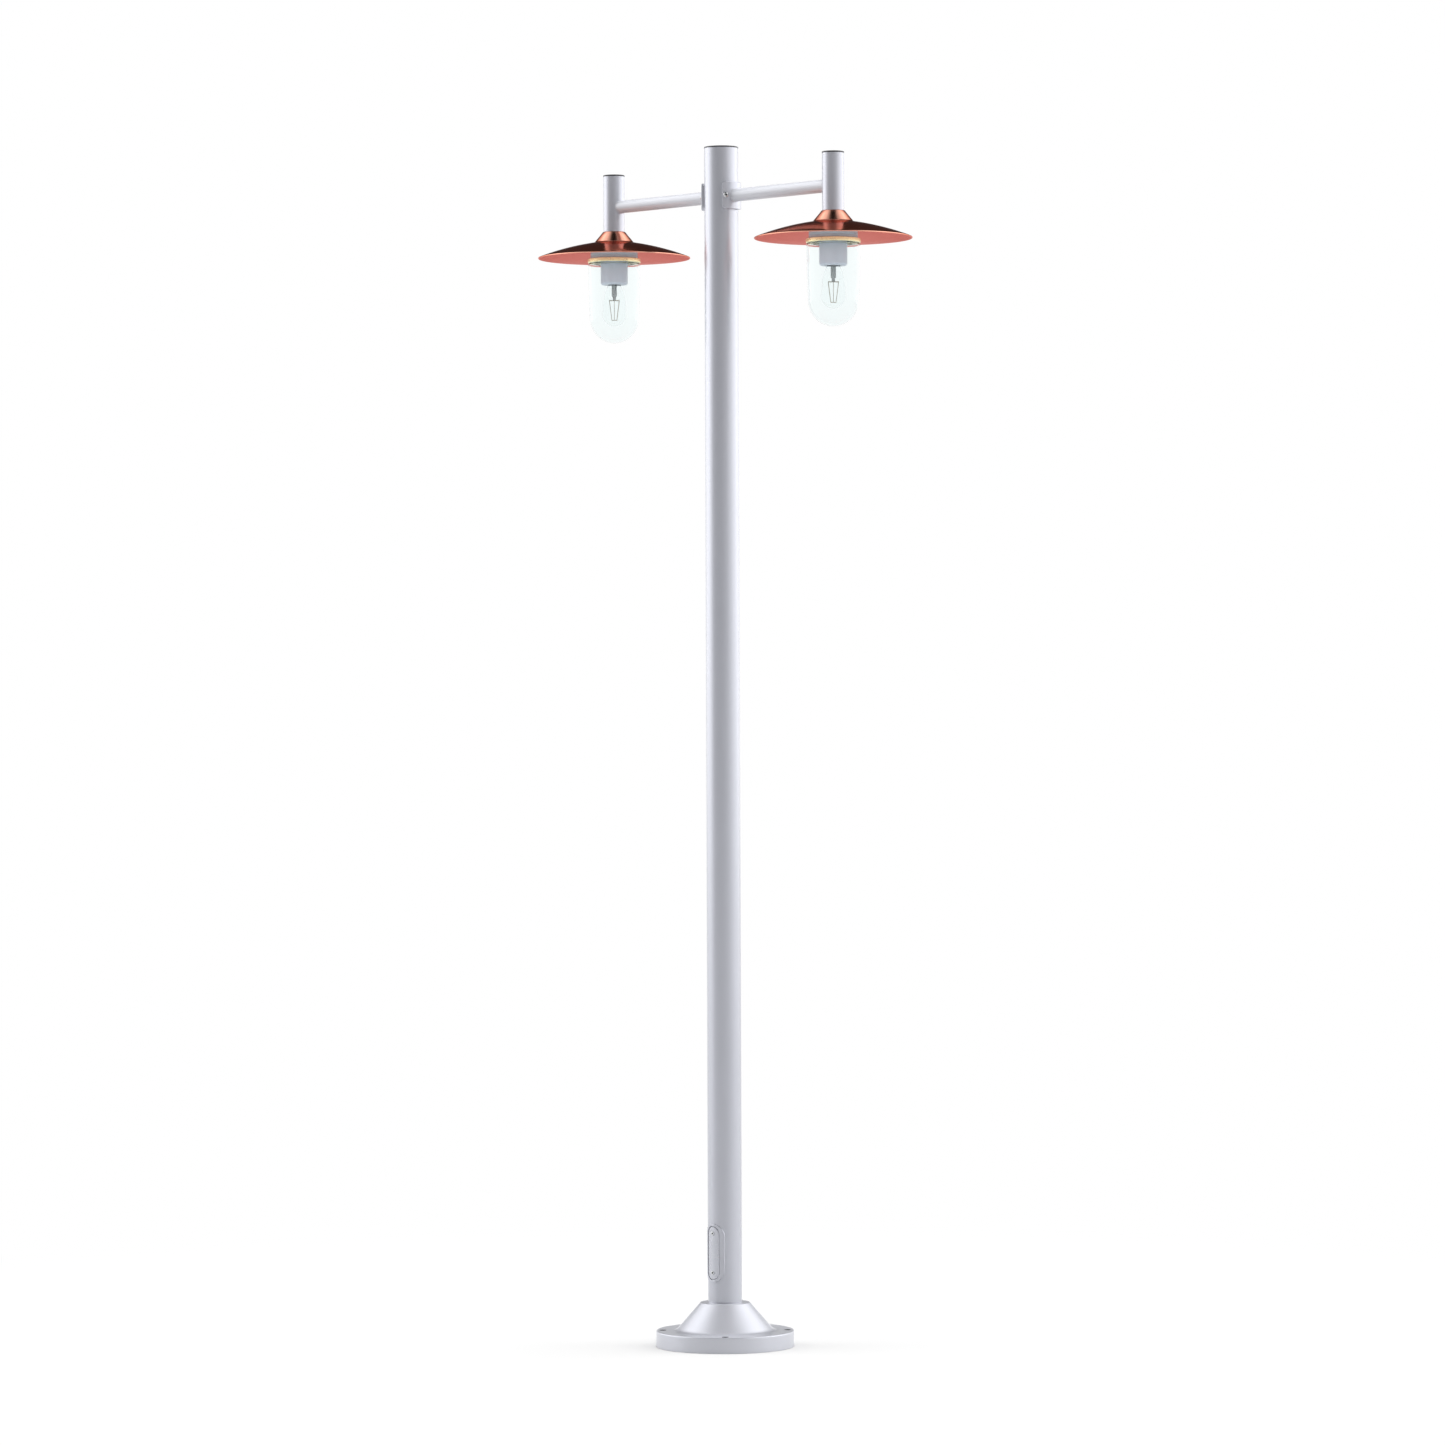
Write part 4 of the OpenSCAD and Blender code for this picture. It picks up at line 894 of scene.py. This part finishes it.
bolt = socket_screw("plate_bolt", [(7.0, 0), (7.0, 1.6), (5.6, 3.5), (3.6, 4.2), (2.9, 4.2)], 4.0, 17, 2.9,
                    2.5, bright_steel, 48)
settle(set_out("plate_bolts_finish", bolt, spokes(bolt_angles, bolt_seat, arm_z), bright_steel, seed=5),
       "post", "stainless", "plate_bolts")
rivet_nut = turned("rivet_nut", rounded([
    (4.05, 33), (5.5, 33), (5.5, 38), (7.2, 39), (7.2, 41.2), (5.5, 41.2), (5.5, 45.1), (8, 45.1), (8, 46.3),
    (4.05, 46.3)], 0.3), zinc, segments=32)
settle(set_out("rivet_nuts_finish", rivet_nut, spokes(bolt_angles, 0, arm_z), zinc, seed=6),
       "post", "zinc", "rivet_nuts")


# === Arms and stems ===
# Steel tubes: each arm is coped to its plate and its stem and welded round
# both ends. The stem carries the lantern, and a dark cap closes its top.
arm_r, arm_bore_r = 17.0, 14.5
stem_r, stem_bore_r = 28.75, 26.25
weld_r, bead_out = 1.3, 0.3
arm_sides = 72

arm_coat = finish_of("arm_coat", (0.55, 0.56, 0.60), 0.44, metallic=0.2, spread=0.035, clouds=9.0,
                     specks=900.0, relief=(700.0, 0.05), coat_weight=0.2, coat_roughness=0.25)


def arm_loop(hand, r, share):
    """Points round the arm in millimetres: share 0 follows the plate's face and share 1 the stem's wall."""
    loop = []
    for k in range(arm_sides):
        turn = 2 * math.pi * k / arm_sides
        y, z = r * math.cos(turn), r * math.sin(turn)
        at_plate, at_stem = math.sqrt(plate_out ** 2 - y * y), lamp_x - math.sqrt(stem_r ** 2 - y * y)
        loop.append(Vector((hand * (at_plate * (1 - share) + at_stem * share), y, arm_z + z)))
    return loop


def lantern_piece(side, part, section, finish, slot, body="post", segments=96, closed=True, sharp_above=38.0):
    """Turns a piece about its stem's axis and settles it. Heights are from the stem's lower end."""
    axis_x = hands[side] * lamp_x / 1000
    piece = turned(side + "_" + part + "_finish", section, finish, axis_x, segments, lamp_z / 1000, closed)
    settle(smooth(piece, sharp_above), body, slot, side + "_" + part)
    return piece


for side, hand in hands.items():
    loops = [[p / 1000 for p in arm_loop(hand, r, share)] for r, shares in (
        (arm_r, (0, 0.02, 0.3, 0.6, 0.98, 1)), (arm_bore_r, (1, 0.6, 0.3, 0))) for share in shares]
    tube = skin(side + "_arm_shell", loops, arm_coat)
    beads = [arm_loop(hand, arm_r + bead_out, share) for share in (0, 1)]
    weld = run_along(side + "_arm_weld", beads, weld_r, arm_coat, 10, ring=True)
    settle(join(side + "_arm_tube_finish", [tube, weld]), "post", "painted_silver", side + "_arm_tube")
    top = 1000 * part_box(side + "_stem_tube")[1].z - lamp_z
    heights = (6, 40, 90, top - 6)
    lantern_piece(side, "stem_tube", rounded([
        (stem_bore_r, 0, 0.4), (stem_r, 0, 0.5), *((stem_r, z) for z in heights), (stem_r, top, 0.4),
        (stem_bore_r, top, 0.4), *((stem_bore_r, z) for z in reversed(heights))]), silver_coat,
        "painted_silver")
    crown = 1000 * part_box(side + "_stem_cap")[1].z - lamp_z
    lantern_piece(side, "stem_cap", [(0, top)] + rounded([
        (24, top), (24, top - 10), (26, top - 10), (26, top + 0.05), (29.05, top + 0.05, 0.2),
        (29.05, top + 3.0, 1.0), (27.6, crown - 0.5, 0.7)], 0.4) + [
        (16, crown - 0.1), (6, crown), (0, crown)], cap_coat, "cap_grey", segments=72, closed=False)


# === Shades ===
# Each shade is spun from one copper sheet: a steep cone under the stem, then a
# shallow arched dish with a rolled rim. Polished above, lacquered matt below.
shade_r, cone_r, cone_h, dish_drop, arch_r, sheet_t = 205.0, 54.0, 29.0, 40.0, 720.0, 1.2
shade_top_r = 31.0
lines_from = lamp_x / 1000

copper = finish_of("polished_copper", (0.80, 0.38, 0.28), 0.16, metallic=1.0, spread=0.05, clouds=16.0,
                   specks=500.0, gloss_spread=0.05, lines=(lines_from, 900.0, 0.035),
                   specular_tint=(0.80, 0.40, 0.36, 1))
copper_under = finish_of("copper_underside", (0.64, 0.25, 0.225), 0.45, metallic=1.0, spread=0.05,
                         clouds=14.0, specks=700.0, lines=(lines_from, 700.0, 0.05),
                         specular_tint=(0.8, 0.4, 0.36, 1))
chord = Vector((shade_r - cone_r, -dish_drop))
tilt = math.atan2(dish_drop, shade_r - cone_r)
swing = math.asin(chord.length / 2 / arch_r)
arch_c = Vector((cone_r, -cone_h)) - arch_r * Vector((math.sin(tilt - swing), math.cos(tilt - swing)))


def arch(drop=0.0, count=20):
    """Points along the dish between the cone's foot and the rim, lowered by drop."""
    angles = [math.pi / 2 - tilt + swing - 2 * swing * i / count for i in range(1, count)]
    return [arch_c + arch_r * Vector((math.cos(a), math.sin(a))) - Vector((0, drop)) for a in angles]


rim_z = -cone_h - dish_drop
above = [(26.55, 0), (shade_top_r - 2.4, 0), (shade_top_r - 1.0, -0.35), (shade_top_r, -1.2), (38.0, -10.0),
         (46.0, -19.6), (51.6, -26.4), (53.2, -28.1), *arch()]
rolled = [(shade_r + x, rim_z + z) for x, z in (
    (-0.6, 0.1), (0.5, -0.6), (0.8, -1.4), (0.6, -2.4), (-0.1, -3.0), (-1.3, -2.9), (-2.1, -2.3))]
below = [*reversed(arch(sheet_t)), (52.6, -29.4), (50.9, -27.9), (45.4, -21.0), (37.3, -11.2), (30.2, -2.3),
         (28.6, -1.2), (26.55, -1.2)]
for side, hand in hands.items():
    shade = lantern_piece(side, "shade", above + rolled + below, copper, "copper", segments=160,
                          sharp_above=50)
    shade.data.materials.append(copper_under)
    for face in shade.data.polygons:
        across = 1000 * math.hypot(face.center.x - hand * lamp_x / 1000, face.center.y)
        lowered = 1000 * face.center.z < lamp_z - 2
        if face.normal.z < 0 and lowered and 30 < across < shade_r - 0.9:
            face.material_index = 1


# === Neck collars and galleries ===
# A cast grey collar inside the stem holds the shade up, and three screws hold
# the flanged gallery to it, over the glass.
cast_grey = finish_of("cast_grey", (0.45, 0.64, 0.71), 0.36, metallic=0.2, spread=0.06, clouds=30.0,
                      specks=800.0, lines=(lines_from, 1300.0, 0.05))
collar_r, collar_bore_r, collar_low = 26.2, 18.2, -49.0
gallery_r, gallery_top, gallery_low, plate_under = 64.0, -49.0, -72.0, -57.0
skirt_r, skirt_bore_r, skirt_low = 63.6, 59.0, -75.7
screw_circle_r = 22.2

for side, hand in hands.items():
    lantern_piece(side, "neck_collar", rounded([
        (collar_bore_r, collar_low, 0.6), (collar_r, collar_low, 0.5), (collar_r, -5.2, 1.0),
        (29.5, -4.2, 0.5), (29.5, -1.2, 0.3), (collar_r, -1.2, 0.2), (collar_r, 14, 0.6),
        (collar_bore_r, 14, 0.6)]), cast_grey, "gallery_grey")
    lantern_piece(side, "gallery_flange", rounded([
        (6.5, plate_under, 0.3), (skirt_bore_r, plate_under, 1.0), (skirt_bore_r, skirt_low, 0.4),
        (skirt_r, skirt_low, 0.3), (skirt_r, gallery_low, 0.1), (gallery_r, gallery_low, 0.5),
        (gallery_r, -66, 0.4), (62.4, -66, 0.3), (62.4, -63, 0.3), (63.6, -63, 0.4), (63.4, -50.6, 1.2),
        (61.0, gallery_top, 1.2), (6.5, gallery_top, 0.3)]), cast_grey, "gallery_grey", segments=128)
    head = [(4.0, 0), (4.0, 2.4), (1.6, 2.4)]
    screw = socket_screw("gallery_screw", head, 2.0, 15, 1.4, 1.4, bright_steel, 28)
    places = []
    for a in (30, 150, 270):
        x, y = screw_circle_r * math.cos(math.radians(a)), screw_circle_r * math.sin(math.radians(a))
        places.append((Vector((hand * (lamp_x + x), y, lamp_z + plate_under + 2.4)) / 1000, (0, 0, -1)))
    settle(set_out(side + "_gallery_screws_finish", screw, places, bright_steel, seed=7),
           "post", "stainless", side + "_gallery_screws")


# === Brass rings ===
# A heavy turned brass ring screws up on the gallery's skirt and clamps the
# glass. Its outer edges are rounded.
ring_brass = finish_of("satin_brass", (0.94, 0.87, 0.50), 0.28, metallic=0.6, spread=0.05, clouds=40.0,
                       specks=900.0, lines=(lines_from, 1500.0, 0.06))
ring_r, ring_top, ring_low, lip_r, lip_h = 71.0, -73.0, -83.0, 58.9, 2.5
for side in hands:
    lantern_piece(side, "glass_ring", rounded([
        (lip_r, ring_low, 0.6), (ring_r, ring_low, 1.3), (ring_r, ring_top, 1.3), (63.7, ring_top, 0.5),
        (63.7, ring_low + lip_h, 0.4), (lip_r, ring_low + lip_h, 0.6)]),
        ring_brass, "ring_brass", side + "_ring", segments=144)


# === Glasses ===
# A clear pressed glass with a beaded neck, a rounded shoulder, slightly
# tapered sides and a round end, sealed by a silicone gasket.
clear_glass = finish_of("clear_glass", (0.955, 0.985, 0.985), 0.0, spread=0.01, clouds=7.0, gloss_spread=0.01,
                        relief=(4.0, 0.001), transmission_weight=1.0, ior=1.16)
silicone = finish_of("silicone", (0.66, 0.60, 0.44), 0.5, spread=0.06, clouds=70.0, relief=(900.0, 0.05))
glass_r, glass_low_r, glass_wall = 70.5, 66.5, 3.0
glass_low, dome_top = -300.0, -231.5
neck_r, bead_r, bead_top, bead_low = 58.5, 63.2, -77.7, -80.2
inner_r, neck_bore_r = glass_r - glass_wall, neck_r - glass_wall
gasket_bore_r, gasket_h = 56.0, 1.7


def round_end(r, top, low, count=28):
    """A quarter ellipse from the widest height to the axis."""
    turns = [math.pi / 2 * i / count for i in range(count + 1)]
    return [(r * math.cos(a), top - (top - low) * math.sin(a)) for a in turns]


outside = rounded([
    (neck_bore_r, bead_top, 0.5), (bead_r, bead_top, 0.6), (bead_r, bead_low, 0.6), (neck_r, bead_low, 0.4),
    (neck_r, -84.0, 1.0), (glass_r, -84.4, 6.5), (glass_r, -96.0), (68.8, -160.0)], closed=False, steps=8)
outside += round_end(glass_low_r, dome_top, glass_low)
inside = round_end(glass_low_r - glass_wall, dome_top, glass_low + glass_wall)[::-1]
inside += rounded([(65.8, -160.0), (inner_r, -96.0), (inner_r, -87.2, 4.5), (neck_bore_r, -86.8, 1.0),
                   (neck_bore_r, bead_top)], closed=False, steps=8)[:-1]
for side in hands:
    lantern_piece(side, "globe_glass", outside + inside, clear_glass, "clear_glass", side + "_glass",
                  segments=128, sharp_above=60)
    lantern_piece(side, "glass_gasket", rounded([
        (gasket_bore_r, bead_top), (bead_r, bead_top), (bead_r, bead_top + gasket_h),
        (gasket_bore_r, bead_top + gasket_h)], 0.5), silicone, "silicone", side + "_glass")


# === Lampholder covers, lampholders and nipples ===
# A lilac-grey moulded cup hides a glazed porcelain lampholder, which hangs on
# a threaded brass nipple between two locknuts.
cover_coat = finish_of("cover_lilac", (0.63, 0.68, 0.77), 0.42, spread=0.04, clouds=30.0,
                       relief=(1300.0, 0.06))
porcelain = finish_of("porcelain", (0.80, 0.78, 0.72), 0.16, spread=0.03, clouds=40.0, relief=(200.0, 0.03),
                      coat_weight=0.5, coat_roughness=0.06)
cup_r, cup_wall, cup_top_t, cup_low, mouth_r, cup_round = 36.5, 2.0, 2.5, -143.0, 18.5, 7.0
locknut_h = 4.0
nipple_thread = [(6.45 - 0.4 * (i % 2), -84.5 + 0.5 * i) for i in range(83)]
for side, hand in hands.items():
    lantern_piece(side, "holder_cover", rounded([
        (6.5, plate_under, 0.1), (cup_r, plate_under, 0.5), (cup_r, -100), (cup_r, cup_low, cup_round),
        (mouth_r, cup_low, 0.7), (mouth_r, cup_low + cup_wall, 0.5),
        (cup_r - cup_wall, cup_low + cup_wall, cup_round - cup_wall),
        (cup_r - cup_wall, plate_under - cup_top_t, 0.5), (6.5, plate_under - cup_top_t, 0.1)], steps=8),
        cover_coat, "cover_lilac")
    lantern_piece(side, "lampholder", rounded([
        (13.35, -135, 0.6), (19.5, -135, 0.6), (21, -133.5, 0.8), (21, -90, 2.0), (15, -80, 2.0),
        (11, -76, 1.5), (6.5, -76, 0.4), (6.5, -85, 0.1), (3.4, -85, 0.1), (3.4, -99, 0.1),
        (13.35, -99, 0.4)]), porcelain, "porcelain", segments=72)
    lantern_piece(side, "holder_nipple", [(3.95, -85), (6.0, -85)] + nipple_thread + [(6.0, -43),
                                                                                      (3.95, -43)],
                  brass, "brass", segments=40)
    nuts = []
    for z in (gallery_top, plate_under - cup_top_t - locknut_h):
        section = [(6.5, 0), (10.3, 0), (11, 0.5), (11, locknut_h - 0.5), (10.3, locknut_h), (6.5, locknut_h)]
        nut = turned("locknut", section, brass, segments=6)
        nuts.append(moved(nut, shift(hand * lamp_x, 0, lamp_z + z)))
    settle(join(side + "_holder_locknuts_finish", nuts), "post", "brass", side + "_holder_locknuts")


# === Bulbs ===
# Long clear filament bulbs: a nickel screw cap with its thread and contact, a
# thin envelope, a glass stem, and a cage of straight filaments.
nickel = finish_of("nickel_cap", (0.66, 0.64, 0.58), 0.26, metallic=1.0, spread=0.06, clouds=120.0,
                   relief=(1200.0, 0.06))
bulb_glass = finish_of("bulb_glass", (0.985, 0.995, 0.995), 0.0, spread=0.006, clouds=12.0, gloss_spread=0.01,
                       relief=(6.0, 0.001), transmission_weight=1.0, ior=1.1)
stem_glass = finish_of("stem_glass", (0.50, 0.52, 0.53), 0.12, spread=0.05, clouds=60.0, relief=(60.0, 0.03),
                       transmission_weight=0.35, ior=1.45)
filament = finish_of("filament_coating", (0.50, 0.48, 0.42), 0.5, metallic=0.3, spread=0.1, clouds=300.0,
                     relief=(1500.0, 0.1))
cap_r, cap_end, bulb_r, bulb_low, bulb_wall = 13.2, -130.0, 32.0, -254.0, 1.0
pitch, thread_turns, thread_steps, thread_r = 3.6, 5, 36, 0.72
bulb_mid = bulb_low + bulb_r
wire_r, wide, narrow, wire_top, wire_low = 0.8, 19.0, 9.5, -185.0, -238.0

# The bulb's outline below its cap, as (radius, distance below the cap's edge)
envelope = [(r, cap_end - drop) for r, drop in (
    (11.2, -8), (11.2, 1), (12.4, 5), (14.2, 9), (17.6, 15), (21.6, 23.5), (24.64, 32), (27.0, 41),
    (28.8, 50), (30.3, 61), (31.36, 72), (31.9, 83))]
outer = envelope + round_end(bulb_r, bulb_mid, bulb_low, 20)
inner = [(r - bulb_wall, z) for r, z in envelope] + round_end(bulb_r - bulb_wall, bulb_mid,
                                                              bulb_low + bulb_wall, 20)
cap_section = [(0, -100.05)] + rounded([
    (4.2, -100.4, 0.3), (5.0, -102.6, 0.5), (9.0, -103.7, 0.5), (cap_r - 1.0, -106.4, 1.0),
    (cap_r - 0.75, -129.0), (cap_r, cap_end + 0.8, 0.2), (cap_r, cap_end, 0.2), (cap_r - 1.0, cap_end, 0.2),
    (cap_r - 1.7, -129.0), (cap_r - 1.7, -109.0), (cap_r - 3.6, -106.2)]) + [(0, -105.0)]
stem_section = [(0, wire_top + 1)] + rounded([
    (4.5, wire_top + 1, 1.0), (4.5, wire_top + 9, 1.0), (7.0, wire_top + 12, 1.5), (7.0, cap_end - 4, 1.5),
    (10.0, cap_end + 2, 0.3)], closed=False) + [(0, cap_end + 2)]
helix = []
for t in range(thread_steps * thread_turns + 1):
    a = 2 * math.pi * t / thread_steps
    x, y = (cap_r - 0.75) * math.cos(a), (cap_r - 0.75) * math.sin(a)
    helix.append((x, y, cap_end + pitch + pitch * t / thread_steps))
# The cage: four filaments that lean in, two cross wires at its top and two at its foot, and one in the middle
wires = []
for c, s in ((1, 0), (0, 1), (-1, 0), (0, -1)):
    wires.append([(c * r, s * r, z) for r, z in (
        (wide, wire_top), ((wide + narrow) / 2, (wire_top + wire_low) / 2), (narrow, wire_low))])
for c, s in ((1, 0), (0, 1)):
    for r, z in ((wide, wire_top), (narrow, wire_low)):
        wires.append([(-c * r, -s * r, z), (0, 0, z), (c * r, s * r, z)])
wires.append([(0, 0, wire_low), (0, 0, wire_top + 1)])
for side, hand in hands.items():
    def in_lantern(path, hand=hand):
        """A path of the lantern's own points, at its place on the post."""
        return [(hand * lamp_x + x, y, lamp_z + z) for x, y, z in path]

    body = side + "_bulb"
    screw_shell = turned(side + "_cap_shell", cap_section, nickel, hand * lamp_x / 1000, 72, lamp_z / 1000,
                         False)
    thread = run_along(side + "_cap_thread", [in_lantern(helix)], thread_r, nickel, 10)
    settle(join(side + "_bulb_cap_finish", [screw_shell, thread]), body, "cap_nickel", side + "_bulb_cap")
    lantern_piece(side, "bulb_glass", outer + inner[::-1], bulb_glass, "bulb_glass", body, sharp_above=70)
    lantern_piece(side, "bulb_stem", stem_section, stem_glass, "stem_glass", body, segments=48, closed=False)
    cage = run_along(side + "_bulb_filaments_finish", [in_lantern(w) for w in wires], wire_r, filament, 12)
    settle(cage, body, "filament", side + "_bulb_filaments")
